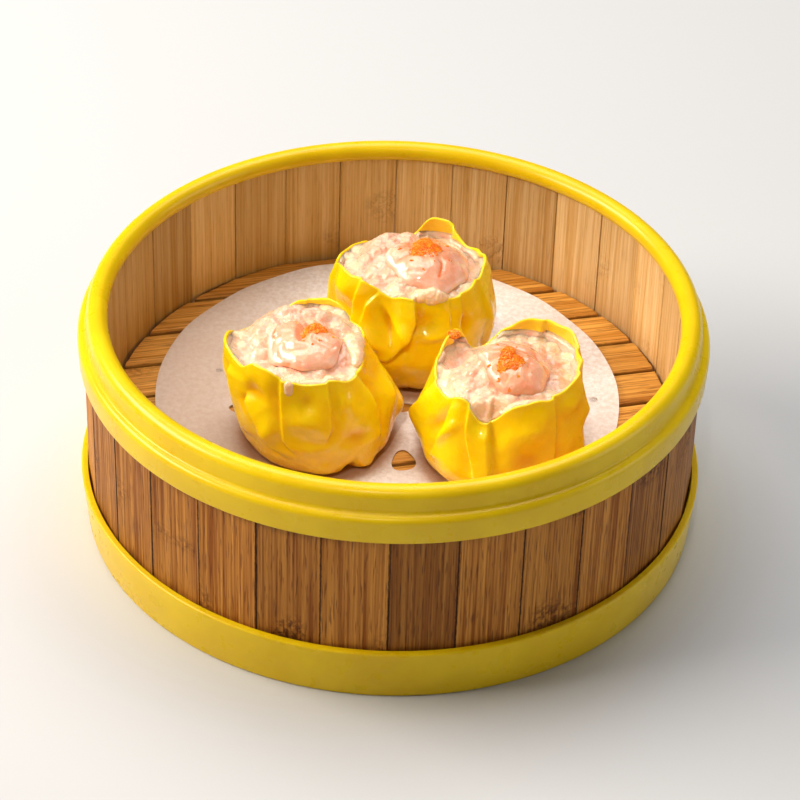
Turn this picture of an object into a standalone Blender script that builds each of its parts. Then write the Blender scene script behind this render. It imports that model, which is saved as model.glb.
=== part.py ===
"""Three siu mai on a paper liner in a small bamboo steamer with plastic rims.

Metres, +Z up, +X to the right of a viewer who stands at -Y. The origin is the centre of the
underside of the base ring, which stands on the table.

The basket is a ring of bamboo staves held in a groove of the base ring below and of the rim band
above, with a floor of bamboo slats on the ledge inside the base ring. A round sheet of paper lies
on the slats, and three open dumplings stand on the paper. Each dumpling is a pleated wrapper, the
minced filling that fills it, a curled prawn on the filling and a small heap of roe on the prawn.
"""

import math

import bmesh
import bpy

MM = 0.001

# Clearances between pieces that touch in the real object.
GAP = 0.3 * MM
FOOD_GAP = 0.4 * MM

# Staves: an even ring of wedge-shaped bamboo blocks. Their first seam faces SEAM_ANGLE. The top
# of each is cut back on the outside to a tongue, which the lip of the rim band covers.
STAVE_COUNT = 30
STAVE_ANGLE = math.tau / STAVE_COUNT
SEAM_ANGLE = math.radians(90.7)
WALL_OUTER_RADIUS = 75.5 * MM
WALL_INNER_RADIUS = 71.0 * MM
TONGUE_RADIUS = 73.4 * MM
STAVE_BOTTOM = 8.3 * MM
STAVE_SHOULDER = 52.6 * MM
STAVE_TOP = 56.6 * MM

# Base ring: a skirt outside the staves, a groove under them and a ledge inside for the floor.
BASE_FOOT_RADIUS = 76.2 * MM
BASE_SHOULDER_RADIUS = 77.5 * MM
BASE_SHOULDER_HEIGHT = 14.0 * MM
BASE_EDGE = 0.5 * MM
BASE_EDGE_STEPS = 2
LEDGE_INNER_RADIUS = 66.0 * MM
LEDGE_HEIGHT = 22.4 * MM
RING_STEPS = 2 * STAVE_COUNT

# Rim band: a rounded lip over the stave tops and a wider collar below a shoulder.
LIP_RADIUS = 2.6 * MM
LIP_CENTRE_RADIUS = 72.2 * MM
LIP_START = 216
LIP_STEPS = 7
HEIGHT = 60.0 * MM
LIP_SKIRT_BOTTOM = 55.8 * MM
SHOULDER_RADIUS = 75.4 * MM
SHOULDER_HEIGHT = 53.9 * MM
COLLAR_RADIUS = 77.1 * MM
COLLAR_HEIGHT = 50.9 * MM
COLLAR_EDGE = 1.0 * MM
COLLAR_BOTTOM = 46.7 * MM
COLLAR_BOTTOM_RADIUS = 76.8 * MM

# Floor: parallel slats, turned a little from the X axis, trimmed to a circle.
FLOOR_TOP = 26.2 * MM
SLAT_THICKNESS = FLOOR_TOP - LEDGE_HEIGHT - GAP
SLAT_PITCH = 12.95 * MM
SLAT_GAP = 0.9 * MM
SLAT_TURN = math.radians(13.9)
SLAT_COUNT = 11
FIRST_SLAT_EDGE = -72.6 * MM
FLOOR_RADIUS = 70.2 * MM
# The outermost cut of a slat is kept just inside the circle, as a share of its radius.
FLOOR_REACH = 0.999
SLAT_END_POINTS = 4

# Paper liner: a thin disc a little off the centre, with punched steam holes.
PAPER_RADIUS = 58.1 * MM
PAPER_CENTRE = (-1.2 * MM, 6.3 * MM)
PAPER_THICKNESS = 0.3 * MM
PAPER_BOTTOM = FLOOR_TOP + GAP
PAPER_POINTS = 72
HOLE_POINTS = 12
HOLES = (
    # centre x, centre y, half width, half depth
    (3.3 * MM, -20.6 * MM, 3.0 * MM, 4.0 * MM),
    (2.6 * MM, 1.2 * MM, 3.6 * MM, 1.8 * MM),
    (-40.0 * MM, -1.4 * MM, 3.2 * MM, 2.6 * MM),
)

# Dumplings: shared sizes.
FOOD_BOTTOM = PAPER_BOTTOM + PAPER_THICKNESS + GAP
WRAPPER_THICKNESS = 1.3 * MM
WRAPPER_COLUMNS = 40
WRAPPER_LEVELS = (0.0, 0.07, 0.2, 0.4, 0.6, 0.8, 0.92, 1.0)
INNER_RIM_LEVEL = 0.975
FILLING_SHARES = (0.3, 0.65, 1.0)
# Rows of the foot, of the foot's inner side and of the mound: how far in from edge to middle.
FOOT_SHARES = (1.0, 0.5)
INNER_FOOT_SHARES = (0.12, 1.0)
MOUND_SHARES = (0.18, 0.4, 0.7, 1.0)
INNER_FOOT_LEVEL = 0.12
FOOT_ROUNDING = 0.22
FOOT_INSET = 0.14
LEAN_START = 0.55
PLEAT_WIDTH = math.radians(6.5)
PLEAT_DEPTH = 1.2 * MM
FOLD_BULGE = 0.7 * MM
PLEAT_SHARE_AT_FOOT = 0.35
PLEATS_FULL_LEVEL = 0.625
FILLING_BELOW_RIM = 1.2 * MM
FILLING_LUMP = 0.35 * MM
FILLING_LUMP_LENGTH = 12.0 * MM
PRAWN_THICKNESS = 2.8 * MM
PRAWN_NOTCH = 0.42
PRAWN_NOTCH_WIDTH = 34
ROE_THICKNESS = 1.4 * MM
DOME_POWER = 0.65
# Rows of a heap from the middle of its under side to its edge, and back over its top.
HEAP_UNDER_SHARES = (0.0, 0.35, 0.7, 1.0)
HEAP_TOP_SHARES = (0.94, 0.8, 0.5, 0.0)
# How far the roe's outline stands out at its three corners, as a share of its radius.
ROE_CORNERS = 0.15
TOPPING_COLUMNS = 18

# Each dumpling. Angles are in degrees about its own axis, 0 to the right and -90 to the front.
# A pleat is the angle of a crease. A flap is a corner of the wrapper that rises above the rim:
# its angle, half its angular width, how far it rises and how far it leans out. A negative rise
# is a place where the rim dips. The filling's height is that of its edge. The prawn has its
# centre from the middle of the rim, its radius and the angle of the notch of its curl; the roe
# has its centre and its radius.
DUMPLINGS = {
    "left": {
        "centre": (-17.9 * MM, -10.9 * MM),
        "foot_radius": 18.3 * MM,
        "rim_radii": (17.8 * MM, 16.6 * MM),
        "rim_shift": (-4.2 * MM, 0.4 * MM),
        "rim_height": 26.2 * MM,
        "belly": 1.6 * MM,
        "pleats": (-144, -108, -72, -36, 0, 36, 72, 108, 144, 180),
        "flaps": (
            (-178, 16, 1.6 * MM, 1.2 * MM),
            (-122, 18, 3.0 * MM, 0.4 * MM),
            (-40, 20, -0.8 * MM, 0.6 * MM),
            (36, 16, -1.6 * MM, 0.0),
            (76, 24, 2.0 * MM, 0.6 * MM),
            (134, 26, -3.2 * MM, 0.0),
        ),
        "filling_height": 25.4 * MM,
        "crown": 3.0 * MM,
        "prawn": (1.3 * MM, -0.6 * MM, 8.4 * MM, 45),
        "roe": (3.2 * MM, 2.0 * MM, 3.4 * MM),
    },
    "back": {
        "centre": (3.7 * MM, 24.3 * MM),
        "foot_radius": 18.6 * MM,
        "rim_radii": (18.0 * MM, 15.0 * MM),
        "rim_shift": (-0.4 * MM, -1.6 * MM),
        "rim_height": 27.6 * MM,
        "belly": 1.8 * MM,
        "pleats": (-162, -126, -108, -81, -45, -27, 0, 27, 63, 99, 135, 171),
        "flaps": (
            (62, 20, 4.4 * MM, 1.4 * MM),
            (14, 14, 1.6 * MM, 1.0 * MM),
            (-42, 20, -0.8 * MM, 0.6 * MM),
            (-146, 28, 3.8 * MM, 1.0 * MM),
            (112, 26, -2.4 * MM, 0.0),
        ),
        "filling_height": 26.8 * MM,
        "crown": 3.6 * MM,
        "prawn": (5.0 * MM, -1.4 * MM, 9.8 * MM, 170),
        "roe": (5.0 * MM, 2.0 * MM, 3.6 * MM),
    },
    "right": {
        "centre": (26.9 * MM, -17.3 * MM),
        "foot_radius": 18.8 * MM,
        "rim_radii": (16.8 * MM, 15.4 * MM),
        "rim_shift": (-0.4 * MM, 1.6 * MM),
        "rim_height": 24.2 * MM,
        "belly": 2.0 * MM,
        "pleats": (-171, -144, -117, -99, -81, -45, -9, 18, 63, 99, 126),
        "flaps": (
            (140, 15, 3.2 * MM, 0.4 * MM),
            (48, 38, 3.6 * MM, 4.2 * MM),
            (-5, 16, 2.4 * MM, 1.6 * MM),
            (-60, 22, 0.8 * MM, 0.4 * MM),
            (-104, 15, -4.6 * MM, 0.0),
            (-158, 20, -2.2 * MM, 0.0),
            (108, 12, -1.8 * MM, 0.0),
        ),
        "filling_height": 23.2 * MM,
        "crown": 3.4 * MM,
        "prawn": (2.8 * MM, -1.0 * MM, 8.8 * MM, 130),
        "roe": (3.4 * MM, 1.0 * MM, 3.2 * MM),
    },
}


# ---------------------------------------------------------------- scene and materials

def clear_scene():
    for old in list(bpy.data.objects):
        bpy.data.objects.remove(old, do_unlink=True)


def linear(channel):
    return channel / 12.92 if channel <= 0.04045 else ((channel + 0.055) / 1.055) ** 2.4


def make_material(name, hex_colour, roughness):
    material = bpy.data.materials.new(name)
    material.use_nodes = True
    shader = material.node_tree.nodes["Principled BSDF"]
    channels = [int(hex_colour[i:i + 2], 16) / 255 for i in (0, 2, 4)]
    shader.inputs["Base Color"].default_value = (*map(linear, channels), 1.0)
    shader.inputs["Roughness"].default_value = roughness
    shader.inputs["Metallic"].default_value = 0.0
    return material


def add_object(name, data, material):
    data.materials.append(material)
    piece = bpy.data.objects.new(name, data)
    COLLECTION.objects.link(piece)
    return piece


# ---------------------------------------------------------------- turned rings

def arc(centre_r, centre_z, radius, start, end, steps):
    """Points (r, z) along an arc, from the start to the end angle in degrees."""
    angles = [math.radians(start + (end - start) * i / steps) for i in range(steps + 1)]
    return [(centre_r + radius * math.cos(a), centre_z + radius * math.sin(a)) for a in angles]


def turned_ring(name, profile, material):
    """A closed profile turned about Z. It runs down the outer side and back up the inner one."""
    bm = bmesh.new()
    corners = [bm.verts.new((r, 0.0, z)) for r, z in profile]
    for first, second in zip(corners, corners[1:] + corners[:1]):
        bm.edges.new((first, second))
    mesh = bpy.data.meshes.new(name)
    bm.to_mesh(mesh)
    bm.free()
    ring = add_object(name, mesh, material)
    ring.rotation_euler.z = SEAM_ANGLE
    screw = ring.modifiers.new("Turn", "SCREW")
    screw.steps = RING_STEPS
    screw.render_steps = RING_STEPS
    screw.use_merge_vertices = True
    screw.merge_threshold = 0.00001
    screw.use_smooth_shade = True
    return ring


def make_rim_band(material):
    groove_outer = WALL_OUTER_RADIUS + GAP
    groove_inner = WALL_INNER_RADIUS * math.cos(STAVE_ANGLE / 2) - GAP
    lip = arc(LIP_CENTRE_RADIUS, HEIGHT - LIP_RADIUS, LIP_RADIUS, LIP_START, 0, LIP_STEPS)
    profile = lip + [
        (SHOULDER_RADIUS, SHOULDER_HEIGHT),
        (COLLAR_RADIUS - COLLAR_EDGE / 2, SHOULDER_HEIGHT - COLLAR_EDGE),
        (COLLAR_RADIUS, COLLAR_HEIGHT),
        (COLLAR_BOTTOM_RADIUS, COLLAR_BOTTOM),
        (groove_outer, COLLAR_BOTTOM),
        (groove_outer, STAVE_SHOULDER + GAP),
        (TONGUE_RADIUS + GAP, STAVE_SHOULDER + GAP),
        (TONGUE_RADIUS + GAP, STAVE_TOP + GAP),
        (groove_inner, STAVE_TOP + GAP),
        (groove_inner, LIP_SKIRT_BOTTOM),
    ]
    return turned_ring("rim_band", profile, material)


def make_base_ring(material):
    groove_outer = WALL_OUTER_RADIUS + GAP
    groove_inner = WALL_INNER_RADIUS * math.cos(STAVE_ANGLE / 2) - GAP
    shoulder = arc(BASE_SHOULDER_RADIUS - BASE_EDGE, BASE_SHOULDER_HEIGHT - BASE_EDGE, BASE_EDGE, 90, 0, BASE_EDGE_STEPS)
    profile = shoulder + [
        (BASE_FOOT_RADIUS, BASE_EDGE),
        (BASE_FOOT_RADIUS - BASE_EDGE, 0.0),
        (LEDGE_INNER_RADIUS, 0.0),
        (LEDGE_INNER_RADIUS, LEDGE_HEIGHT),
        (groove_inner, LEDGE_HEIGHT),
        (groove_inner, STAVE_BOTTOM - GAP),
        (groove_outer, STAVE_BOTTOM - GAP),
        (groove_outer, BASE_SHOULDER_HEIGHT),
    ]
    return turned_ring("base_ring", profile, material)


# ---------------------------------------------------------------- bamboo

def make_stave(index, material):
    """The side view of a stave, as thick as its share of the wall: less on the side that faces in."""
    half_turn = STAVE_ANGLE / 2
    outline = (
        (WALL_INNER_RADIUS, STAVE_BOTTOM),
        (WALL_OUTER_RADIUS, STAVE_BOTTOM),
        (WALL_OUTER_RADIUS, STAVE_SHOULDER),
        (TONGUE_RADIUS, STAVE_SHOULDER),
        (TONGUE_RADIUS, STAVE_TOP),
        (WALL_INNER_RADIUS, STAVE_TOP),
    )
    bm = bmesh.new()
    corners = [bm.verts.new((radius * math.cos(half_turn), -1.0, z)) for radius, z in outline]
    side = bm.faces.new(corners)
    extruded = bmesh.ops.extrude_face_region(bm, geom=[side])
    for element in extruded["geom"]:
        if isinstance(element, bmesh.types.BMVert):
            element.co.y = 1.0
    for corner in bm.verts:
        corner.co.y *= corner.co.x * math.tan(half_turn) - GAP / 2
    bmesh.ops.recalc_face_normals(bm, faces=bm.faces)
    mesh = bpy.data.meshes.new(f"stave_{index + 1:02d}")
    bm.to_mesh(mesh)
    bm.free()
    stave = add_object(mesh.name, mesh, material)
    stave.rotation_euler.z = SEAM_ANGLE + (index + 0.5) * STAVE_ANGLE
    return stave


def slat_outline(near, far):
    """Outline of one slat between two parallel cuts, with its ends on the floor's circle."""
    near = max(near, -FLOOR_RADIUS * FLOOR_REACH)
    far = min(far, FLOOR_RADIUS * FLOOR_REACH)
    offsets = [near + (far - near) * i / (SLAT_END_POINTS - 1) for i in range(SLAT_END_POINTS)]
    right = [(math.sqrt(FLOOR_RADIUS ** 2 - y ** 2), y) for y in offsets]
    left = [(-x, y) for x, y in reversed(right)]
    return right + left


def extruded_outline(name, loops, bottom, thickness, material):
    """A flat piece with the given outlines, the first one its edge and the others holes."""
    curve = bpy.data.curves.new(name, "CURVE")
    curve.dimensions = "2D"
    curve.fill_mode = "BOTH"
    curve.extrude = thickness / 2
    for loop in loops:
        spline = curve.splines.new("POLY")
        spline.points.add(len(loop) - 1)
        spline.use_cyclic_u = True
        for point, (x, y) in zip(spline.points, loop):
            point.co = (x, y, 0.0, 1.0)
    piece = add_object(name, curve, material)
    piece.location.z = bottom + thickness / 2
    return piece


def make_slat(index, material):
    near = FIRST_SLAT_EDGE + index * SLAT_PITCH + SLAT_GAP / 2
    far = near + SLAT_PITCH - SLAT_GAP
    outline = slat_outline(near, far)
    bottom = LEDGE_HEIGHT + GAP
    slat = extruded_outline(f"slat_{index + 1:02d}", [outline], bottom, SLAT_THICKNESS, material)
    slat.rotation_euler.z = SLAT_TURN
    return slat


# ---------------------------------------------------------------- paper

def ellipse(centre, half_width, half_depth, count):
    angles = [math.tau * i / count for i in range(count)]
    return [(centre[0] + half_width * math.cos(a), centre[1] + half_depth * math.sin(a)) for a in angles]


def make_paper(material):
    loops = [ellipse(PAPER_CENTRE, PAPER_RADIUS, PAPER_RADIUS, PAPER_POINTS)]
    for x, y, half_width, half_depth in HOLES:
        loops.append(ellipse((x, y), half_width, half_depth, HOLE_POINTS))
    return extruded_outline("paper_liner", loops, PAPER_BOTTOM, PAPER_THICKNESS, material)


# ---------------------------------------------------------------- dumplings

def wrapped_body(name, columns, rows, place, material):
    """A closed body: a grid wrapped about a vertical axis, its first and last rows drawn to a point.

    place(angle, row) gives the point of a column's angle and a row's number.
    """
    bm = bmesh.new()
    bmesh.ops.create_grid(bm, x_segments=columns, y_segments=rows, size=1.0)
    for vertex in bm.verts:
        column = round((vertex.co.x + 1.0) / 2.0 * columns)
        row = round((vertex.co.y + 1.0) / 2.0 * rows)
        vertex.co = place(math.tau * (column % columns) / columns, row)
    bmesh.ops.remove_doubles(bm, verts=bm.verts, dist=0.00001)
    bmesh.ops.triangulate(bm, faces=bm.faces, quad_method="SHORT_EDGE")
    bmesh.ops.recalc_face_normals(bm, faces=bm.faces)
    mesh = bpy.data.meshes.new(name)
    bm.to_mesh(mesh)
    bm.free()
    mesh.shade_smooth()
    return add_object(name, mesh, material)


def smooth(value):
    value = min(max(value, 0.0), 1.0)
    return value * value * (3.0 - 2.0 * value)


def turn_between(angle, degrees):
    """The signed angle from a direction in degrees, between -pi and pi."""
    return (angle - math.radians(degrees) + math.pi) % math.tau - math.pi


def flap_weights(dumpling, angle):
    """The rise and the outward lean that the wrapper's corners give the rim at an angle."""
    rise = 0.0
    lean = 0.0
    for degrees, half_width, flap_rise, flap_lean in dumpling["flaps"]:
        weight = math.exp(-abs(turn_between(angle, degrees) / math.radians(half_width)) ** 3)
        rise += weight * flap_rise
        lean += weight * flap_lean
    return rise, lean


def pleat_offset(dumpling, angle, level):
    """How far the wall stands in at the creases and out between them, most of all at the top."""
    nearest = min(abs(turn_between(angle, degrees)) for degrees in dumpling["pleats"])
    crease = math.exp(-(nearest / PLEAT_WIDTH) ** 2)
    share = PLEAT_SHARE_AT_FOOT + (1.0 - PLEAT_SHARE_AT_FOOT) * smooth(level / PLEATS_FULL_LEVEL)
    return (FOLD_BULGE * (1.0 - crease) - PLEAT_DEPTH * crease) * share


def axis_at(dumpling, level):
    """The dumpling's centre line, which leans from the foot's centre to the rim's."""
    share = smooth(level)
    centre, shift = dumpling["centre"], dumpling["rim_shift"]
    return centre[0] + shift[0] * share, centre[1] + shift[1] * share


def wall_height(dumpling, angle):
    return dumpling["rim_height"] + flap_weights(dumpling, angle)[0]


def wall_point(dumpling, angle, level, inset=0.0):
    """A point of the wrapper's side, from its foot (level 0) to its rim (level 1)."""
    rim_x, rim_y = dumpling["rim_radii"]
    rim = 1.0 / math.hypot(math.cos(angle) / rim_x, math.sin(angle) / rim_y)
    radius = dumpling["foot_radius"] + (rim - dumpling["foot_radius"]) * smooth(level)
    radius += dumpling["belly"] * math.sin(math.pi * level)
    radius += pleat_offset(dumpling, angle, level)
    lean = flap_weights(dumpling, angle)[1]
    radius += lean * smooth((level - LEAN_START) / (1.0 - LEAN_START))
    foot = min(level / FOOT_ROUNDING, 1.0)
    radius *= 1.0 - FOOT_INSET * (1.0 - math.sqrt(foot * (2.0 - foot)))
    radius -= inset
    x, y = axis_at(dumpling, level)
    height = FOOD_BOTTOM + wall_height(dumpling, angle) * level
    return x + radius * math.cos(angle), y + radius * math.sin(angle), height


def moved_in(point, centre, share):
    """The x and y of a point moved a share of the way to a centre."""
    return point[0] + (centre[0] - point[0]) * share, point[1] + (centre[1] - point[1]) * share


def filling_level(dumpling, angle):
    """The level of the wrapper's wall that the filling's edge reaches."""
    height = wall_height(dumpling, angle)
    return (min(dumpling["filling_height"], height) - FILLING_BELOW_RIM) / height


def make_wrapper(side, dumpling, material):
    """A cup: out from the middle of the foot, up the wall, over the rim and down inside."""
    foot_centre = axis_at(dumpling, 0.0)
    first_inner = 2 + len(WRAPPER_LEVELS)
    last_inner = first_inner + len(FILLING_SHARES)

    def place(angle, row):
        if row < 2:
            point = wall_point(dumpling, angle, 0.0)
            return (*moved_in(point, foot_centre, FOOT_SHARES[row]), FOOD_BOTTOM)
        if row < first_inner:
            return wall_point(dumpling, angle, WRAPPER_LEVELS[row - 2])
        if row == first_inner:
            return wall_point(dumpling, angle, INNER_RIM_LEVEL, WRAPPER_THICKNESS)
        if row <= last_inner:
            level = filling_level(dumpling, angle) * FILLING_SHARES[last_inner - row]
            return wall_point(dumpling, angle, level, WRAPPER_THICKNESS)
        point = wall_point(dumpling, angle, INNER_FOOT_LEVEL, WRAPPER_THICKNESS)
        share = INNER_FOOT_SHARES[row - last_inner - 1]
        return (*moved_in(point, foot_centre, share), FOOD_BOTTOM + WRAPPER_THICKNESS)

    return wrapped_body(f"{side}_wrapper", WRAPPER_COLUMNS, last_inner + 2, place, material)


def filling_top(dumpling, x, y):
    """Height of the filling's uneven mound over a place."""
    middle = axis_at(dumpling, 1.0)
    off = math.hypot(x - middle[0], y - middle[1]) / min(dumpling["rim_radii"])
    turn = math.tau / FILLING_LUMP_LENGTH
    lumps = FILLING_LUMP * math.sin(x * turn) * math.cos(y * turn)
    return FOOD_BOTTOM + dumpling["filling_height"] + dumpling["crown"] * (1.0 - off ** 2) + lumps


def make_filling(side, dumpling, material):
    """Fills the wrapper from its foot, and rises from its edge to a mound."""
    inset = WRAPPER_THICKNESS + FOOD_GAP
    foot_centre = axis_at(dumpling, 0.0)
    middle = axis_at(dumpling, 1.0)
    foot_height = FOOD_BOTTOM + WRAPPER_THICKNESS + FOOD_GAP
    first_top = 2 + len(FILLING_SHARES)

    def place(angle, row):
        if row < 2:
            point = wall_point(dumpling, angle, INNER_FOOT_LEVEL, inset)
            return (*moved_in(point, foot_centre, INNER_FOOT_SHARES[1 - row]), foot_height)
        level = filling_level(dumpling, angle)
        if row < first_top:
            return wall_point(dumpling, angle, level * FILLING_SHARES[row - 2], inset)
        edge = wall_point(dumpling, angle, level, inset)
        x, y = moved_in(edge, middle, MOUND_SHARES[row - first_top])
        return x, y, filling_top(dumpling, x, y)

    rows = first_top + len(MOUND_SHARES)
    return wrapped_body(f"{side}_filling", WRAPPER_COLUMNS, rows - 1, place, material)


def prawn_reach(dumpling, angle):
    """Outline of the curled prawn about its centre: round, with the notch of the curl."""
    _, _, radius, notch = dumpling["prawn"]
    near_notch = math.exp(-(turn_between(angle, notch) / math.radians(PRAWN_NOTCH_WIDTH)) ** 2)
    return radius * (1.0 - PRAWN_NOTCH * near_notch)


def prawn_centre(dumpling):
    x, y = axis_at(dumpling, 1.0)
    return x + dumpling["prawn"][0], y + dumpling["prawn"][1]


def dome(off):
    """Height of a rounded heap, 1 in its middle and 0 at its edge."""
    return (1.0 - off ** 2) ** DOME_POWER


def prawn_top(dumpling, x, y):
    """Height of the prawn's back over a place, or of the filling with its gap beside it."""
    centre = prawn_centre(dumpling)
    angle = math.atan2(y - centre[1], x - centre[0])
    off = min(math.hypot(x - centre[0], y - centre[1]) / prawn_reach(dumpling, angle), 1.0)
    return filling_top(dumpling, x, y) + FOOD_GAP + PRAWN_THICKNESS * dome(off)


def draped_body(name, centre, reach, under, thickness, material):
    """A low heap on what is under it: a flat side that follows it and a domed upper side."""
    rows = [(share, 0) for share in HEAP_UNDER_SHARES] + [(share, 1) for share in HEAP_TOP_SHARES]

    def place(angle, row):
        share, raised = rows[row]
        x = centre[0] + share * reach(angle) * math.cos(angle)
        y = centre[1] + share * reach(angle) * math.sin(angle)
        return x, y, under(x, y) + raised * thickness * dome(share)

    return wrapped_body(name, TOPPING_COLUMNS, len(rows) - 1, place, material)


def make_prawn(side, dumpling, material):
    return draped_body(
        f"{side}_prawn",
        prawn_centre(dumpling),
        lambda angle: prawn_reach(dumpling, angle),
        lambda x, y: filling_top(dumpling, x, y) + FOOD_GAP,
        PRAWN_THICKNESS,
        material,
    )


def make_roe(side, dumpling, material):
    x, y = axis_at(dumpling, 1.0)
    offset_x, offset_y, radius = dumpling["roe"]
    return draped_body(
        f"{side}_roe",
        (x + offset_x, y + offset_y),
        lambda angle: radius * (1.0 + ROE_CORNERS * math.sin(3.0 * angle)),
        lambda x, y: prawn_top(dumpling, x, y) + FOOD_GAP,
        ROE_THICKNESS,
        material,
    )


# ---------------------------------------------------------------- the whole object

clear_scene()
COLLECTION = bpy.data.collections.new("siu_mai_steamer")
bpy.context.scene.collection.children.link(COLLECTION)

yellow_plastic = make_material("yellow_plastic", "F2CE1E", 0.3)
bamboo = make_material("bamboo", "C98A45", 0.6)
paper = make_material("paper", "DCCFC4", 0.85)
dough = make_material("egg_dough", "F0C010", 0.3)
mince = make_material("prawn_mince", "F3D0A8", 0.35)
prawn = make_material("cooked_prawn", "F5A878", 0.3)
roe = make_material("roe", "F58A1C", 0.25)

make_rim_band(yellow_plastic)
make_base_ring(yellow_plastic)
for stave_index in range(STAVE_COUNT):
    make_stave(stave_index, bamboo)
for slat_index in range(SLAT_COUNT):
    make_slat(slat_index, bamboo)
make_paper(paper)
for side, dumpling in DUMPLINGS.items():
    make_wrapper(side, dumpling, dough)
    make_filling(side, dumpling, mince)
    make_prawn(side, dumpling, prawn)
    make_roe(side, dumpling, roe)
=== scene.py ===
"""Looks of three siu mai in a small bamboo steamer with yellow plastic rims.

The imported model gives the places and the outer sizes. Shapes are worked out in millimetres and
written to the meshes in metres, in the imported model's frame: +Z up, +X to the right of a viewer
who stands at -Y. Angles about a dumpling are in degrees, 0 to the right and -90 to the front.
"""

import math

import bmesh
import bpy
import numpy as np
from mathutils import Matrix, Vector, noise
from mathutils.geometry import delaunay_2d_cdt


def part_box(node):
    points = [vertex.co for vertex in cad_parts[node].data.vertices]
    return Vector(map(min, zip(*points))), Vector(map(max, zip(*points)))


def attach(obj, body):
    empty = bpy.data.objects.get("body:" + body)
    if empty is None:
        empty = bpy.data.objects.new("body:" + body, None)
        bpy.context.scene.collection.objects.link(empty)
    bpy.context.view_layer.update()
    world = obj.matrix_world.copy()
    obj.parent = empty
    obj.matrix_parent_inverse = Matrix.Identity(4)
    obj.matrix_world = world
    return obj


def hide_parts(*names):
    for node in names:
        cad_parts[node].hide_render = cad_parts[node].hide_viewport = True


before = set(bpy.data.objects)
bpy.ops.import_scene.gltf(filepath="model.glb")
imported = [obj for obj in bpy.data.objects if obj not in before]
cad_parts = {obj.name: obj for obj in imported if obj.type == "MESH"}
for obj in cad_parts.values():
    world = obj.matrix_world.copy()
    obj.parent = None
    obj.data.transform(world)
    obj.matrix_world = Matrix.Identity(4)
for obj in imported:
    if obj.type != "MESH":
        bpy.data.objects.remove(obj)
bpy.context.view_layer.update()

MM = 0.001
BODY = "root"


def box_mm(node):
    """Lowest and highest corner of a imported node, in millimetres."""
    low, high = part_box(node)
    return np.array(low) / MM, np.array(high) / MM


def middle_mm(node):
    """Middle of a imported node's box, in millimetres."""
    low, high = box_mm(node)
    return (low + high) / 2


def smooth(value):
    """A soft step from 0 to 1 as a value goes from 0 to 1."""
    value = np.clip(value, 0.0, 1.0)
    return value * value * (3.0 - 2.0 * value)


# ---------------------------------------------------------------- meshes

def link_object(name, data):
    """A new object in the scene, at the origin."""
    piece = bpy.data.objects.new(name, data)
    bpy.context.scene.collection.objects.link(piece)
    return piece


def bake_modifiers(piece):
    """Replaces a piece's mesh by the one its modifiers make, and removes them."""
    evaluated = piece.evaluated_get(bpy.context.evaluated_depsgraph_get())
    mesh = bpy.data.meshes.new_from_object(evaluated)
    piece.modifiers.clear()
    piece.data = mesh
    mesh.name = piece.name


def closed_grid(points, masks=None):
    """A closed skin from rows of points: rows run round the columns, and the first and last row
    each shrink to one pole. Returns its points, faces and the value of each mask at each point."""
    rows, columns, _ = points.shape
    inner = points[1:-1].reshape(-1, 3)
    vertices = np.vstack([points[0].mean(0), inner, points[-1].mean(0)])
    column = np.arange(columns)
    following = (column + 1) % columns
    faces = [(0, 1 + b, 1 + a) for a, b in zip(column, following)]
    for row in range(rows - 3):
        lower = 1 + row * columns
        upper = lower + columns
        ring = np.stack([lower + column, lower + following, upper + following, upper + column], 1)
        faces.extend(map(tuple, ring.tolist()))
    last = 1 + (rows - 3) * columns
    pole = len(vertices) - 1
    faces.extend((last + a, last + b, pole) for a, b in zip(column, following))
    values = {}
    for name, mask in (masks or {}).items():
        values[name] = np.concatenate([[mask[0].mean()], mask[1:-1].ravel(), [mask[-1].mean()]])
    return vertices, faces, values


def add_mask(mesh, name, values):
    """Stores a value for each point of a mesh."""
    attribute = mesh.attributes.new(name, "FLOAT", "POINT")
    attribute.data.foreach_set("value", np.asarray(values, np.float32))


def mesh_piece(name, shells, material):
    """One object from closed skins given in millimetres, each with the same masks."""
    vertices = np.vstack([shell[0] for shell in shells])
    faces = []
    start = 0
    for points, shell_faces, _ in shells:
        faces += [tuple(int(corner + start) for corner in face) for face in shell_faces]
        start += len(points)
    mesh = bpy.data.meshes.new(name)
    mesh.from_pydata((vertices * MM).tolist(), [], faces)
    bm = bmesh.new()
    bm.from_mesh(mesh)
    bmesh.ops.recalc_face_normals(bm, faces=bm.faces)
    bm.to_mesh(mesh)
    bm.free()
    for mask in shells[0][2]:
        add_mask(mesh, mask, np.concatenate([shell[2][mask] for shell in shells]))
    mesh.materials.append(material)
    mesh.shade_smooth()
    return link_object(name, mesh)


# How steeply a grain falls away: 1.8 brings it to 0 three quarters of the way to its neighbour.
GRAIN_STEEPNESS = 1.8


def noise_field(points, size, seed):
    """Smooth noise from -1 to 1 at points in millimetres, with hills about one size apart."""
    offset = Vector((seed * 17.3, seed * 5.1, seed * 11.7))
    flat = points.reshape(-1, 3) / size
    values = [noise.noise(Vector(point) + offset) for point in flat.tolist()]
    return np.array(values).reshape(points.shape[:-1])


def cell_field(points, size, seed):
    """Round grains about one size across: 1 in the middle of each and 0 where they meet."""
    offset = Vector((seed * 7.9, seed * 13.7, seed * 3.3))
    flat = points.reshape(-1, 3) / size
    nearest = [noise.voronoi(Vector(point) + offset)[0][0] for point in flat.tolist()]
    return np.clip(1.0 - GRAIN_STEEPNESS * np.array(nearest) ** 2, 0.0, 1.0).reshape(points.shape[:-1])


# ---------------------------------------------------------------- nodes

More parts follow.
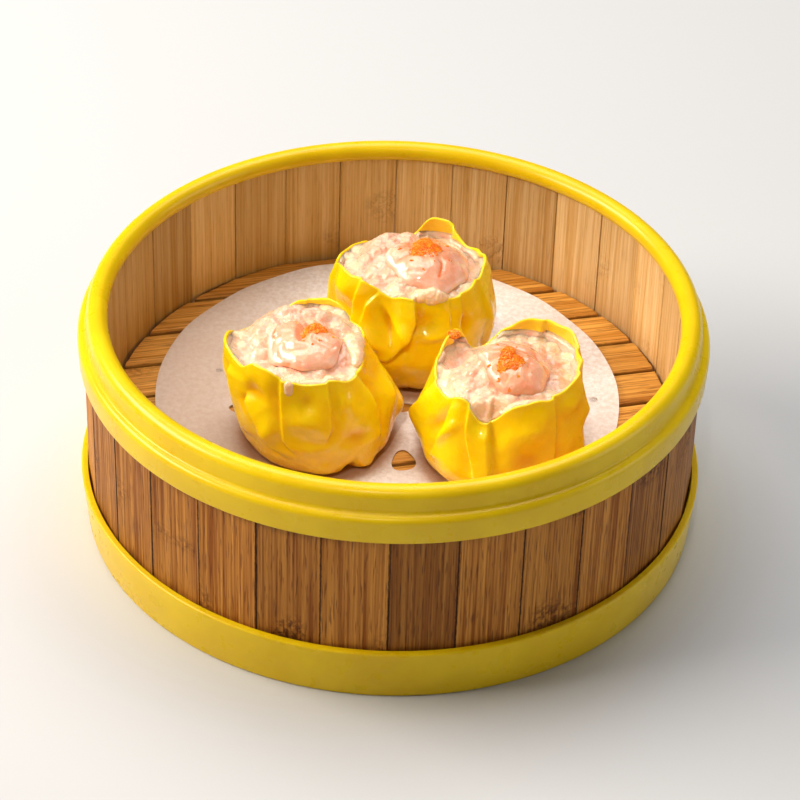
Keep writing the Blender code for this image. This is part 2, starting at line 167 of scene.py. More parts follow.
def linear_colour(hex_colour):
    """An sRGB hex colour as linear red, green, blue and alpha."""
    channels = [int(hex_colour[i:i + 2], 16) / 255 for i in (0, 2, 4)]
    return tuple(c / 12.92 if c <= 0.04045 else ((c + 0.055) / 1.055) ** 2.4 for c in channels) + (1.0,)


def feed(tree, node, inputs):
    """Feeds a node's inputs, by number or by name among those in use. Each gets a plain value, an
    sRGB hex colour, or a link from a socket or from another node's first output in use."""
    for key, value in inputs.items():
        if isinstance(key, str):
            socket = next(entry for entry in node.inputs if entry.name == key and entry.enabled)
        else:
            socket = node.inputs[key]
        if isinstance(value, bpy.types.Node):
            value = next(output for output in value.outputs if output.enabled)
        if isinstance(value, bpy.types.NodeSocket):
            tree.links.new(value, socket)
        elif socket.type == "RGBA":
            socket.default_value = linear_colour(value)
        else:
            socket.default_value = value


def add_node(tree, kind, inputs=None, **settings):
    """A new node with its settings and with its inputs fed."""
    node = tree.nodes.new(kind)
    for name, value in settings.items():
        setattr(node, name, value)
    feed(tree, node, inputs or {})
    return node


# ---------------------------------------------------------------- materials

def new_material(name, masks=(), **settings):
    """A material with a Principled BSDF. Returns it, its tree, its shader and, by name, the value
    of each mask that its meshes carry."""
    material = bpy.data.materials.new(name)
    material.use_nodes = True
    tree = material.node_tree
    shader = tree.nodes["Principled BSDF"]
    feed(tree, shader, {key.replace("_", " "): value for key, value in settings.items()})
    carried = {}
    for mask in masks:
        carried[mask] = add_node(tree, "ShaderNodeAttribute", attribute_name=mask).outputs["Fac"]
    return material, tree, shader, carried


def mottling(tree, size, stretch=(1.0, 1.0, 1.0), turn=0.0, shift=None, **inputs):
    """Noise whose hills are about one size (mm) across in the object's own space, drawn out by a
    stretch along each axis after a turn about Z."""
    coordinates = add_node(tree, "ShaderNodeTexCoord").outputs["Object"]
    if shift is not None:
        coordinates = add_node(tree, "ShaderNodeVectorMath", {0: coordinates, 1: shift}, operation="ADD")
    turned = add_node(tree, "ShaderNodeMapping", {"Vector": coordinates, "Rotation": (0.0, 0.0, -turn)})
    scale = tuple(1.0 / (size * MM * amount) for amount in stretch)
    scaled = add_node(tree, "ShaderNodeMapping", {"Vector": turned, "Scale": scale})
    return add_node(tree, "ShaderNodeTexNoise", {"Vector": scaled, "Scale": 1.0, **inputs})


def paint(tree, ground, *coats):
    """A ground colour with coats laid over it, each as far as its factor says."""
    colour = ground
    for factor, coat in coats:
        colour = add_node(tree, "ShaderNodeMix", {"Factor": factor, "A": colour, "B": coat}, data_type="RGBA")
    return colour


def polypropylene_yellow():
    """Injection-moulded polypropylene: even waxy yellow, satin gloss, a faint uneven shine."""
    material, tree, shader, _ = new_material(
        "polypropylene_yellow", IOR=1.49, Specular_IOR_Level=0.3, Subsurface_Weight=0.12,
        Subsurface_Radius=(1.0, 0.5, 0.05), Subsurface_Scale=2.0 * MM)
    cloud = mottling(tree, 14.0, Detail=2.0)
    sheen = mottling(tree, 5.0, Detail=2.0)
    pale = add_node(tree, "ShaderNodeMapRange", {"Value": cloud, "From Min": 0.35, "From Max": 0.65})
    gloss = add_node(tree, "ShaderNodeMapRange", {
        "Value": sheen, "From Min": 0.3, "From Max": 0.7, "To Min": 0.26, "To Max": 0.32})
    ripple = add_node(tree, "ShaderNodeBump", {"Height": sheen, "Strength": 0.08, "Distance": 0.03 * MM})
    colour = paint(tree, "E4BD08", (pale, "EBC70E"))
    feed(tree, shader, {"Base Color": colour, "Roughness": gloss, "Normal": ripple})
    return material


def bamboo(name, outer, inner, knot, axis, turn, seam_share):
    """Split bamboo: straight fibres that run along the piece, dark pores as short dashes and a
    rough mottled patch where a joint of the cane was. Every piece has its own tone, its skin
    side is browner than its pith side, and dirt darkens the seams between pieces. Fibres and
    pores are 0.1 to 0.2 mm wide in real bamboo, and are drawn about three times as wide to show."""
    material, tree, shader, masks = new_material(
        name, ("tone", "pith", "across"), IOR=1.45, Specular_IOR_Level=0.25)
    tone, pith = masks["tone"], masks["pith"]
    spread = add_node(tree, "ShaderNodeCombineXYZ", {"X": tone, "Y": tone, "Z": tone})
    shift = add_node(tree, "ShaderNodeVectorMath", {"Vector": spread, "Scale": 0.9}, operation="SCALE")

    def fibres(width, length, detail):
        stretch = tuple(length / width if side == axis else 1.0 for side in range(3))
        return mottling(tree, width, stretch, turn, shift, Detail=detail)

    bands = fibres(2.6, 90.0, 2.0)
    strands = fibres(0.55, 45.0, 3.0)
    pores = fibres(0.4, 6.0, 1.0)
    mottle = mottling(tree, 1.3, shift=shift, Detail=4.0)
    joint = mottling(tree, 24.0, shift=shift, Detail=1.0)
    skin = add_node(tree, "ShaderNodeMath", {0: pith, 1: -0.75, 2: 1.0}, operation="MULTIPLY_ADD")

    thin = add_node(tree, "ShaderNodeMath", {0: strands, 1: 0.6}, operation="MULTIPLY")
    grain = add_node(tree, "ShaderNodeMath", {0: bands, 1: 0.4, 2: thin}, operation="MULTIPLY_ADD")
    light_share = add_node(tree, "ShaderNodeMapRange", {"Value": grain, "From Min": 0.38, "From Max": 0.62})
    light = paint(tree, outer[0], (pith, inner[0]))
    dark = paint(tree, outer[1], (pith, inner[1]))

    pore_depth = add_node(tree, "ShaderNodeMapRange", {
        "Value": pores, "From Min": 0.56, "From Max": 0.72, "To Min": 0.0, "To Max": 0.6})
    pore_share = add_node(tree, "ShaderNodeMath", {0: pore_depth, 1: skin}, operation="MULTIPLY")
    at_joint = add_node(tree, "ShaderNodeMapRange", {"Value": joint, "From Min": 0.62, "From Max": 0.70})
    spots = add_node(tree, "ShaderNodeMapRange", {"Value": mottle, "From Min": 0.42, "From Max": 0.60})
    patch = add_node(tree, "ShaderNodeMath", {0: at_joint, 1: spots}, operation="MULTIPLY")
    knot_depth = add_node(tree, "ShaderNodeMath", {0: patch, 1: 0.8}, operation="MULTIPLY")
    knot_share = add_node(tree, "ShaderNodeMath", {0: knot_depth, 1: skin}, operation="MULTIPLY")
    wood = paint(tree, dark, (light_share, light), (pore_share, knot), (knot_share, knot))
    shade = paint(tree, "CFC9C0", (tone, "FFFFFF"))
    shaded = add_node(tree, "ShaderNodeMix", {"Factor": 1.0, "A": wood, "B": shade},
                      data_type="RGBA", blend_type="MULTIPLY")

    across = add_node(tree, "ShaderNodeMath", {0: masks["across"]}, operation="ABSOLUTE")
    ragged = add_node(tree, "ShaderNodeMath", {0: mottle, 1: 0.06, 2: -0.03}, operation="MULTIPLY_ADD")
    wander = add_node(tree, "ShaderNodeMath", {0: across, 1: ragged}, operation="ADD")
    seam_depth = add_node(tree, "ShaderNodeMapRange", {
        "Value": wander, "From Min": 0.95, "From Max": 0.985, "To Min": 0.0, "To Max": seam_share})
    seam = add_node(tree, "ShaderNodeMath", {0: seam_depth, 1: skin}, operation="MULTIPLY")

    gloss = add_node(tree, "ShaderNodeMapRange", {
        "Value": strands, "From Min": 0.3, "From Max": 0.7, "To Min": 0.68, "To Max": 0.46})
    relief = add_node(tree, "ShaderNodeMath", {0: pore_share, 1: -0.5, 2: strands}, operation="MULTIPLY_ADD")
    lumps = add_node(tree, "ShaderNodeMath", {0: patch, 1: mottle}, operation="MULTIPLY")
    fibrous = add_node(tree, "ShaderNodeBump", {"Height": relief, "Strength": 0.7, "Distance": 0.3 * MM})
    knotty = add_node(tree, "ShaderNodeBump", {
        "Height": lumps, "Strength": 0.8, "Distance": 0.4 * MM, "Normal": fibrous})
    colour = paint(tree, shaded, (seam, "241004"))
    feed(tree, shader, {"Base Color": colour, "Roughness": gloss, "Normal": knotty})
    return material


def greaseproof_paper():
    """Bleached greaseproof paper, wet from the steam: soft off-white fibres, browned where juice
    has soaked in round the dumplings, and tan-grey on the left, partly wetter there and partly as
    painted shadow of the steamer's left wall. Its pulp is drawn at 1.3 mm, coarser than real, to show."""
    material, tree, shader, masks = new_material(
        "greaseproof_paper", ("damp_and_wall_shadow", "soaked"), IOR=1.45, Roughness=0.75)
    pulp = mottling(tree, 1.3, Detail=5.0, Roughness=0.65)
    cloud = mottling(tree, 18.0, Detail=2.0)
    pale = add_node(tree, "ShaderNodeMapRange", {"Value": pulp, "From Min": 0.38, "From Max": 0.62})
    warm = add_node(tree, "ShaderNodeMapRange", {
        "Value": cloud, "From Min": 0.4, "From Max": 0.7, "To Min": 0.0, "To Max": 0.35})
    # BE9C80 on the left of the sheet is partly wetter paper and partly painted shadow of the left wall.
    colour = paint(tree, "DDCFC6", (pale, "F0E9E6"), (warm, "D8C4B2"), (masks["damp_and_wall_shadow"], "BE9C80"),
                   (masks["soaked"], "9A5F22"))
    fibrous = add_node(tree, "ShaderNodeBump", {"Height": pulp, "Strength": 0.5, "Distance": 0.12 * MM})
    feed(tree, shader, {"Base Color": colour, "Normal": fibrous})
    return material


def steamed_egg_dough():
    """Wrapper of egg dough, steamed: soft, wet and slightly see-through, so it glows where it is
    thin, and a little paler along its cut edge. Deep amber painted shade darkens it where its
    wall sinks in, towards its foot and under it."""
    material, tree, shader, masks = new_material(
        "steamed_egg_dough", ("hollow", "edge"), IOR=1.38, Specular_IOR_Level=0.35, Subsurface_Weight=0.4,
        Subsurface_Radius=(1.0, 0.6, 0.04), Subsurface_Scale=1.5 * MM, Coat_Weight=0.6, Coat_Roughness=0.05)
    cloud = mottling(tree, 7.0, Detail=3.0)
    wet = mottling(tree, 3.0, Detail=3.0)
    grit = mottling(tree, 0.9, Detail=3.0)
    pale = add_node(tree, "ShaderNodeMapRange", {"Value": cloud, "From Min": 0.35, "From Max": 0.68})
    gloss = add_node(tree, "ShaderNodeMapRange", {
        "Value": wet, "From Min": 0.35, "From Max": 0.65, "To Min": 0.2, "To Max": 0.42})
    # E49802 under the hollow mask is painted shade: deep amber in sunken folds and dents, low on the wall and
    # under the foot.
    colour = paint(tree, "FCCE02", (pale, "FFDA08"), (masks["hollow"], "E49802"), (masks["edge"], "FADE50"))
    gritty = add_node(tree, "ShaderNodeBump", {"Height": grit, "Strength": 0.5, "Distance": 0.18 * MM})
    wavy = add_node(tree, "ShaderNodeBump", {
        "Height": wet, "Strength": 0.3, "Distance": 0.35 * MM, "Normal": gritty})
    feed(tree, shader, {"Base Color": colour, "Roughness": gloss, "Normal": wavy})
    return material


def minced_prawn():
    """Minced prawn and pork, steamed: pale pink paste, cream where the fat shows, wet and grainy."""
    material, tree, shader, masks = new_material(
        "minced_prawn", ("cream", "tint"), IOR=1.4, Subsurface_Weight=0.5,
        Subsurface_Radius=(1.0, 0.4, 0.22), Subsurface_Scale=2.0 * MM, Coat_Weight=0.6, Coat_Roughness=0.08)
    blotch = mottling(tree, 4.5, Detail=4.0)
    fine = mottling(tree, 0.8, Detail=4.0)
    pale = add_node(tree, "ShaderNodeMapRange", {"Value": blotch, "From Min": 0.36, "From Max": 0.62})
    gloss = add_node(tree, "ShaderNodeMapRange", {
        "Value": fine, "From Min": 0.35, "From Max": 0.65, "To Min": 0.18, "To Max": 0.4})
    # The tint coat F79A52 is orange from the roe nearby and, along the filling's edge, painted warm light as
    # if through the yellow wrapper.
    colour = paint(tree, "EBA888", (pale, "F2C8AC"), (masks["cream"], "F4D0A6"), (masks["tint"], "F79A52"))
    grainy = add_node(tree, "ShaderNodeBump", {"Height": fine, "Strength": 0.8, "Distance": 0.45 * MM})
    feed(tree, shader, {"Base Color": colour, "Roughness": gloss, "Normal": grainy})
    return material


def cooked_prawn():
    """Cooked prawn meat: glassy pink flesh in fine layers, with thin orange veins and edges, and a
    pale painted highlight along the rim on its left side.
    """
    material, tree, shader, masks = new_material(
        "cooked_prawn", ("tint", "vein", "skin"), IOR=1.4, Subsurface_Weight=0.5,
        Subsurface_Radius=(1.0, 0.35, 0.2), Subsurface_Scale=2.4 * MM, Coat_Weight=0.7, Coat_Roughness=0.06)
    blotch = mottling(tree, 4.0, Detail=3.0)
    fine = mottling(tree, 1.2, Detail=4.0)
    pale = add_node(tree, "ShaderNodeMapRange", {"Value": blotch, "From Min": 0.35, "From Max": 0.65})
    gloss = add_node(tree, "ShaderNodeMapRange", {
        "Value": fine, "From Min": 0.35, "From Max": 0.65, "To Min": 0.14, "To Max": 0.34})
    # FCE9DA under the skin mask is a painted highlight on the left rim, the side towards the key light.
    colour = paint(tree, "F3A684", (pale, "F9C6AA"), (masks["tint"], "FA8A3A"), (masks["vein"], "F0701E"),
                   (masks["skin"], "FCE9DA"))
    layered = add_node(tree, "ShaderNodeBump", {"Height": fine, "Strength": 0.6, "Distance": 0.4 * MM})
    feed(tree, shader, {"Base Color": colour, "Roughness": gloss, "Normal": layered})
    return material


def flying_fish_roe():
    """Flying-fish roe: tiny orange eggs with a wet, glassy skin."""
    material, tree, shader, _ = new_material(
        "flying_fish_roe", IOR=1.38, Roughness=0.16, Subsurface_Weight=0.4,
        Subsurface_Radius=(1.0, 0.3, 0.05), Subsurface_Scale=0.6 * MM)
    each = mottling(tree, 0.9, Detail=1.0)
    pale = add_node(tree, "ShaderNodeMapRange", {"Value": each, "From Min": 0.35, "From Max": 0.65})
    feed(tree, shader, {"Base Color": paint(tree, "FA6C08", (pale, "FF9C2C"))})
    return material


def water():
    """Drops of condensed steam: clear water, sharp in its reflections."""
    return new_material("water", Base_Color="FFFFFF", IOR=1.333, Roughness=0.02, Transmission_Weight=1.0)[0]


def backdrop_paper():
    """Matt backdrop paper: a plain pale ground."""
    return new_material("backdrop_paper", Base_Color="D0D0D0", Roughness=0.9)[0]


# ---------------------------------------------------------------- turned plastic rings

RING_STEPS = 240
CORNER_STEPS = 6


def arc(centre_r, centre_z, radius, start, end, steps):
    """Corners (r, z, no rounding) along an arc, from the start to the end angle in degrees."""
    angles = np.radians(np.linspace(start, end, steps + 1))
    return [(centre_r + radius * math.cos(a), centre_z + radius * math.sin(a), 0.0) for a in angles]


def rounded(corners):
    """A closed outline with each corner (r, z, radius) rounded to its radius."""
    outline = []
    count = len(corners)
    for index, (r, z, radius) in enumerate(corners):
        here = Vector((r, z))
        before = (Vector(corners[index - 1][:2]) - here).normalized()
        after = (Vector(corners[(index + 1) % count][:2]) - here).normalized()
        if not radius:
            outline.append(here)
            continue
        half = before.angle(after) / 2
        reach = radius / math.tan(half)
        start, end = here + before * reach, here + after * reach
        for step in range(CORNER_STEPS + 1):
            share = step / CORNER_STEPS
            chord = start.lerp(end, share)
            centre = here + (before + after).normalized() * radius / math.sin(half)
            outline.append(centre + (chord - centre).normalized() * radius)
    return outline


def turned_ring(name, corners, material):
    """An outline turned about Z. It runs down the outer side and back up the inner one."""
    bm = bmesh.new()
    points = [bm.verts.new((p.x * MM, 0.0, p.y * MM)) for p in rounded(corners)]
    for first, second in zip(points, points[1:] + points[:1]):
        bm.edges.new((first, second))
    mesh = bpy.data.meshes.new(name)
    bm.to_mesh(mesh)
    bm.free()
    ring = link_object(name, mesh)
    screw = ring.modifiers.new("Turn", "SCREW")
    screw.steps = RING_STEPS
    screw.render_steps = RING_STEPS
    screw.use_merge_vertices = True
    screw.merge_threshold = 0.000001
    screw.use_smooth_shade = True
    bake_modifiers(ring)
    ring.data.shade_smooth()
    ring.data.set_sharp_from_angle(angle=SHARP_ANGLE)
    ring.data.materials.clear()
    ring.data.materials.append(material)
    return ring


WALL_INNER = 70.6
WALL_OUTER = 75.5
RING_GAP = 0.3
TONGUE_DEPTH = 2.1
TONGUE_HEIGHT = 4.0
SHARP_ANGLE = math.radians(40)


def rim_band_outline():
    """A rounded lip over the stave tops, a hollow neck under it and a soft-shouldered collar."""
    low, high = box_mm("rim_band")
    collar, top, bottom = high[0], high[2], low[2]
    lip_radius, lip_centre = 2.6, collar - 4.9
    lip_start, lip_end, lip_steps = 216, 6, 26
    neck, neck_height = collar - 2.1, top - 5.8
    shoulder_height = top - 6.4
    draft = 0.3
    ceiling, inner_edge = top - 3.1, top - 4.2
    groove_outer, groove_inner = WALL_OUTER + RING_GAP, WALL_INNER - RING_GAP
    lip = arc(lip_centre, top - lip_radius, lip_radius, lip_start, lip_end, lip_steps)
    return lip + [
        (neck, neck_height, 0.9),
        (collar, shoulder_height, 1.7),
        (collar - draft, bottom, 0.5),
        (groove_outer, bottom, 0.0),
        (groove_outer, ceiling - TONGUE_HEIGHT, 0.0),
        (groove_outer - TONGUE_DEPTH, ceiling - TONGUE_HEIGHT, 0.0),
        (groove_outer - TONGUE_DEPTH, ceiling, 0.0),
        (groove_inner, ceiling, 0.0),
        (groove_inner, inner_edge, 0.0),
    ]


def base_ring_outline():
    """A skirt that widens to a ledge outside the staves, a groove under them, a ledge inside."""
    _, high = box_mm("base_ring")
    shoulder, ledge = high[0], high[2]
    shoulder_height = 14.0
    foot = shoulder - 1.3
    ledge_inner = 66.0
    groove_outer, groove_inner = WALL_OUTER + RING_GAP, WALL_INNER - RING_GAP
    groove_bottom = box_mm("stave_01")[0][2] - RING_GAP
    return [
        (shoulder, shoulder_height, 0.55),
        (foot, 0.0, 0.7),
        (ledge_inner, 0.0, 0.4),
        (ledge_inner, ledge, 0.4),
        (groove_inner, ledge, 0.0),
        (groove_inner, groove_bottom, 0.0),
        (groove_outer, groove_bottom, 0.0),
        (groove_outer, shoulder_height, 0.15),
    ]


# ---------------------------------------------------------------- bamboo by Geometry Nodes

STAVE_COUNT = 30
STAVE_ANGLE = math.tau / STAVE_COUNT
SEAM_ANGLE = math.radians(90.7)
STAVE_ROUNDING = 0.25
STAVE_GAP = 0.04
STAVE_PLAY = 0.18


def node_tree(name, inputs):
    """A Geometry Nodes tree with a Geometry input, the named inputs and a Geometry output."""
    tree = bpy.data.node_groups.new(name, "GeometryNodeTree")
    tree.interface.new_socket("Geometry", in_out="INPUT", socket_type="NodeSocketGeometry")
    for label, kind in inputs.items():
        tree.interface.new_socket(label, in_out="INPUT", socket_type=f"NodeSocket{kind}")
    tree.interface.new_socket("Geometry", in_out="OUTPUT", socket_type="NodeSocketGeometry")
    return tree, add_node(tree, "NodeGroupInput").outputs


def finish_tree(tree, geometry, material):
    """Ends a tree in Realize Instances and Set Material."""
    realized = add_node(tree, "GeometryNodeRealizeInstances", {"Geometry": geometry})
    painted = add_node(tree, "GeometryNodeSetMaterial", {"Geometry": realized, "Material": material})
    add_node(tree, "NodeGroupOutput", {0: painted})


def grow(piece, tree, values):
    """Runs a tree on a piece with a value for each named input, and keeps the mesh it makes."""
    modifier = piece.modifiers.new(tree.name, "NODES")
    modifier.node_group = tree
    items = tree.interface.items_tree
    sockets = {item.name: item.identifier for item in items if item.in_out == "INPUT"}
    for label, value in values.items():
        modifier[sockets[label]] = value
    bake_modifiers(piece)


def toned(tree, instances, seed, salt):
    """Gives each instance a tone of its own, from 0 to 1."""
    shifted = add_node(tree, "ShaderNodeMath", {0: seed, 1: salt}, operation="ADD")
    tone = add_node(tree, "FunctionNodeRandomValue", {"Min": 0.0, "Max": 1.0, "Seed": shifted},
                    data_type="FLOAT")
    return add_node(tree, "GeometryNodeStoreNamedAttribute",
                    {"Geometry": instances, "Name": "tone", "Value": tone},
                    data_type="FLOAT", domain="INSTANCE")


def stave_ring_tree():
    """Copies of one stave set round a ring, each a little further in or out than the next."""
    inputs = {"Count": "Int", "First angle": "Float", "Play": "Float", "Seed": "Int", "Material": "Material"}
    tree, given = node_tree("stave_ring", inputs)
    points = add_node(tree, "GeometryNodePoints", {"Count": given["Count"]})
    index = add_node(tree, "GeometryNodeInputIndex")
    step = add_node(tree, "ShaderNodeMath", {0: math.tau, 1: given["Count"]}, operation="DIVIDE")
    angle = add_node(tree, "ShaderNodeMath", {0: index, 1: step, 2: given["First angle"]},
                     operation="MULTIPLY_ADD")
    rotation = add_node(tree, "ShaderNodeCombineXYZ", {"Z": angle})
    placed = add_node(tree, "GeometryNodeInstanceOnPoints",
                      {"Points": points, "Instance": given["Geometry"], "Rotation": rotation})
    inwards = add_node(tree, "ShaderNodeMath", {0: given["Play"], 1: -1.0}, operation="MULTIPLY")
    play_seed = add_node(tree, "ShaderNodeMath", {0: given["Seed"], 1: 1.0}, operation="ADD")
    play = add_node(tree, "FunctionNodeRandomValue",
                    {"Min": inwards, "Max": given["Play"], "Seed": play_seed}, data_type="FLOAT")
    shift = add_node(tree, "ShaderNodeCombineXYZ", {"X": play})
    moved = add_node(tree, "GeometryNodeTranslateInstances",
                     {"Instances": placed, "Translation": shift, "Local Space": True})
    finish_tree(tree, toned(tree, moved, given["Seed"], 2.0), given["Material"])
    return tree


def make_staves(material):
    """One stave, in section a wedge and in side view cut back to a tongue, then the ring of them."""
    low, high = box_mm("stave_01")
    bottom, top = low[2], high[2]
    shoulder, tongue = top - TONGUE_HEIGHT, WALL_OUTER - TONGUE_DEPTH
    half_turn = STAVE_ANGLE / 2
    flat = math.cos(half_turn)
    outer, inner = WALL_OUTER * flat, WALL_INNER
    outline = ((inner, bottom), (outer, bottom), (outer, shoulder), (tongue * flat, shoulder),
               (tongue * flat, top), (inner, top))
    bm = bmesh.new()
    side = bm.faces.new([bm.verts.new((r, -1.0, z)) for r, z in outline])
    for element in bmesh.ops.extrude_face_region(bm, geom=[side])["geom"]:
        if isinstance(element, bmesh.types.BMVert):
            element.co.y = 1.0
    for corner in bm.verts:
        corner.co.y *= corner.co.x * math.tan(half_turn) - STAVE_GAP / 2
    bmesh.ops.recalc_face_normals(bm, faces=bm.faces)
    bmesh.ops.bevel(bm, geom=list(bm.edges), offset=STAVE_ROUNDING, offset_type="OFFSET", segments=3,
                    profile=0.5, affect="EDGES", clamp_overlap=True)
    places = np.array([corner.co[:] for corner in bm.verts])
    bmesh.ops.scale(bm, vec=(MM, MM, MM), verts=bm.verts)
    mesh = bpy.data.meshes.new("bamboo_staves")
    bm.to_mesh(mesh)
    bm.free()
    add_mask(mesh, "across", places[:, 1] / (places[:, 0] * math.tan(half_turn)))
    add_mask(mesh, "pith", smooth((inner + 1.0 - places[:, 0]) / 0.6))
    staves = link_object("bamboo_staves", mesh)
    grow(staves, stave_ring_tree(), {
        "Count": STAVE_COUNT, "First angle": SEAM_ANGLE + half_turn, "Play": STAVE_PLAY * MM,
        "Seed": 4, "Material": material})
    return staves


SLAT_PITCH = 12.95
SLAT_GAP = 0.9
SLAT_TURN = math.radians(13.9)
SLAT_COUNT = 11
FIRST_SLAT_EDGE = -72.6
FLOOR_RADIUS = 70.2
SLAT_ROUNDING = 0.7
END_ROUGHNESS = 0.9
CHIP_SIZE = 0.7
# The outermost slats' edges stop at this share of the floor's radius, short of its very rim.
FARTHEST_SHARE = 0.998
WELD = 0.02
SLAT_SHARP_ANGLE = math.radians(50)


def slat_floor_tree():
    """Copies of one slat side by side. Each is drawn out to reach the floor's circle at both
    ends, where its cut is ragged, and the floor is turned as a whole."""
    inputs = {"Count": "Int", "First": "Float", "Pitch": "Float", "Radius": "Float", "Ragged": "Float",
              "Turn": "Float", "Seed": "Int", "Material": "Material"}
    tree, given = node_tree("slat_floor", inputs)
    first = add_node(tree, "ShaderNodeCombineXYZ", {"Y": given["First"]})
    pitch = add_node(tree, "ShaderNodeCombineXYZ", {"Y": given["Pitch"]})
    row = add_node(tree, "GeometryNodeMeshLine",
                   {"Count": given["Count"], "Start Location": first, "Offset": pitch})
    placed = add_node(tree, "GeometryNodeInstanceOnPoints", {"Points": row, "Instance": given["Geometry"]})
    slats = add_node(tree, "GeometryNodeRealizeInstances",
                     {"Geometry": toned(tree, placed, given["Seed"], 1.0)})

    position = add_node(tree, "GeometryNodeInputPosition")
    x, y, z = add_node(tree, "ShaderNodeSeparateXYZ", {0: position}).outputs
    farthest = add_node(tree, "ShaderNodeMath", {0: given["Radius"], 1: FARTHEST_SHARE}, operation="MULTIPLY")
    nearest = add_node(tree, "ShaderNodeMath", {0: farthest, 1: -1.0}, operation="MULTIPLY")
    below = add_node(tree, "ShaderNodeMath", {0: y, 1: farthest}, operation="MINIMUM")
    kept_y = add_node(tree, "ShaderNodeMath", {0: below, 1: nearest}, operation="MAXIMUM")
    radius_squared = add_node(tree, "ShaderNodeMath", {0: given["Radius"], 1: 2.0}, operation="POWER")
    y_squared = add_node(tree, "ShaderNodeMath", {0: kept_y, 1: kept_y}, operation="MULTIPLY")
    squares = add_node(tree, "ShaderNodeMath", {0: radius_squared, 1: y_squared}, operation="SUBTRACT")
    half_chord = add_node(tree, "ShaderNodeMath", {0: squares}, operation="SQRT")
    chips = add_node(tree, "ShaderNodeTexNoise",
                     {"Vector": position, "Scale": 1.0 / (CHIP_SIZE * MM), "Detail": 2.0})
    chipped = add_node(tree, "ShaderNodeMath", {0: chips, 1: given["Ragged"]}, operation="MULTIPLY")
    cut_back = add_node(tree, "ShaderNodeMath", {0: half_chord, 1: chipped}, operation="SUBTRACT")
    reach = add_node(tree, "ShaderNodeMath", {0: cut_back, 1: 0.0}, operation="MAXIMUM")
    drawn_x = add_node(tree, "ShaderNodeMath", {0: x, 1: reach}, operation="MULTIPLY")
    drawn = add_node(tree, "ShaderNodeCombineXYZ", {"X": drawn_x, "Y": kept_y, "Z": z})
    shaped = add_node(tree, "GeometryNodeSetPosition", {"Geometry": slats, "Position": drawn})
    welded = add_node(tree, "GeometryNodeMergeByDistance", {"Geometry": shaped, "Distance": WELD * MM})
    rotation = add_node(tree, "ShaderNodeCombineXYZ", {"Z": given["Turn"]})
    turned = add_node(tree, "GeometryNodeTransform", {"Geometry": welded, "Rotation": rotation})
    finish_tree(tree, turned, given["Material"])
    return tree


def make_slats(material):
    """One slat with rounded long edges, one unit to each end, then the floor of them."""
    low, high = box_mm("slat_05")
    width = SLAT_PITCH - SLAT_GAP
    columns, across = 40, 16
    section = [(share, True) for share in np.linspace(-0.5, 0.5, across + 1)]
    section += [(share, False) for share in np.linspace(0.5, -0.5, across + 1)]
    bm = bmesh.new()
    rings = []
    for column in range(columns + 1):
        x = -1.0 + 2.0 * column / columns
        ring = []
        for share, raised in section:
            y = share * width
            edge = max(abs(y) - (width / 2 - SLAT_ROUNDING), 0.0) / SLAT_ROUNDING
            rounding = SLAT_ROUNDING * (1.0 - math.sqrt(max(1.0 - edge ** 2, 0.0)))
            z = high[2] - rounding if raised else low[2] + rounding
            ring.append(bm.verts.new((x, y * MM, z * MM)))
        rings.append(ring)
    count = len(section)
    for near, far in zip(rings, rings[1:]):
        for i in range(count):
            j = (i + 1) % count
            bm.faces.new((near[i], near[j], far[j], far[i]))
    bm.faces.new(rings[0])
    bm.faces.new(list(reversed(rings[-1])))
    bmesh.ops.recalc_face_normals(bm, faces=bm.faces)
    mesh = bpy.data.meshes.new("bamboo_slats")
    bm.to_mesh(mesh)
    bm.free()
    add_mask(mesh, "across", [2.0 * share for share, _ in section] * (columns + 1))
    slats = link_object("bamboo_slats", mesh)
    grow(slats, slat_floor_tree(), {
        "Count": SLAT_COUNT, "First": (FIRST_SLAT_EDGE + SLAT_PITCH / 2) * MM, "Pitch": SLAT_PITCH * MM,
        "Radius": FLOOR_RADIUS * MM, "Ragged": END_ROUGHNESS * MM, "Turn": SLAT_TURN, "Seed": 9,
        "Material": material})
    slats.data.shade_smooth()
    slats.data.set_sharp_from_angle(angle=SLAT_SHARP_ANGLE)
    return slats


# ---------------------------------------------------------------- dumplings: shared sizes

FOOD_BOTTOM = box_mm("left_wrapper")[0][2]
WRAPPER_THICKNESS = 1.3
# The wall thins by this share from this level up to its cut edge.
EDGE_THINNING = 0.4
THINNING_START = 0.8
COLUMNS = 320
OUTER_ROWS = 96
EDGE_ROWS = 8
INNER_ROWS = 26
INNER_FOOT_LEVEL = 0.12
FOOT_ROUNDING = 0.2
FOOT_INSET = 0.16
LEAN_START = 0.55
# A pleat's swell in front of its edge, its undercut behind it and the edge's softness, in mm.
FOLD_SPREAD = 5.5
FOLD_UNDERCUT = 2.4
FOLD_UNDERCUT_SHARE = 0.65
FOLD_EDGE = 0.22
# A pleat grows over this share of the height, and is pressed flatter towards the rim.
FOLD_FADE = 0.1
FOLD_PRESS = 0.6
FOLD_PRESS_START = 0.84
FULL_FOLD_LEVEL = 0.97
DENT_STRENGTH = 1.55
# Small waves of the cut edge: height, number round the edge and phase.
RIM_WAVES = ((0.22, 11, 1.0), (0.12, 19, 2.0))
# Unevenness of the wall: height, size and seed.
WALL_ROUGHNESS = ((0.55, 8.0, 0), (0.10, 2.6, 3))
FILLING_OVER_RIM = 0.7
FILLING_ABOVE_EDGE = 0.25
FILLING_INSET = 2.0
EDGE_INSET = 0.5

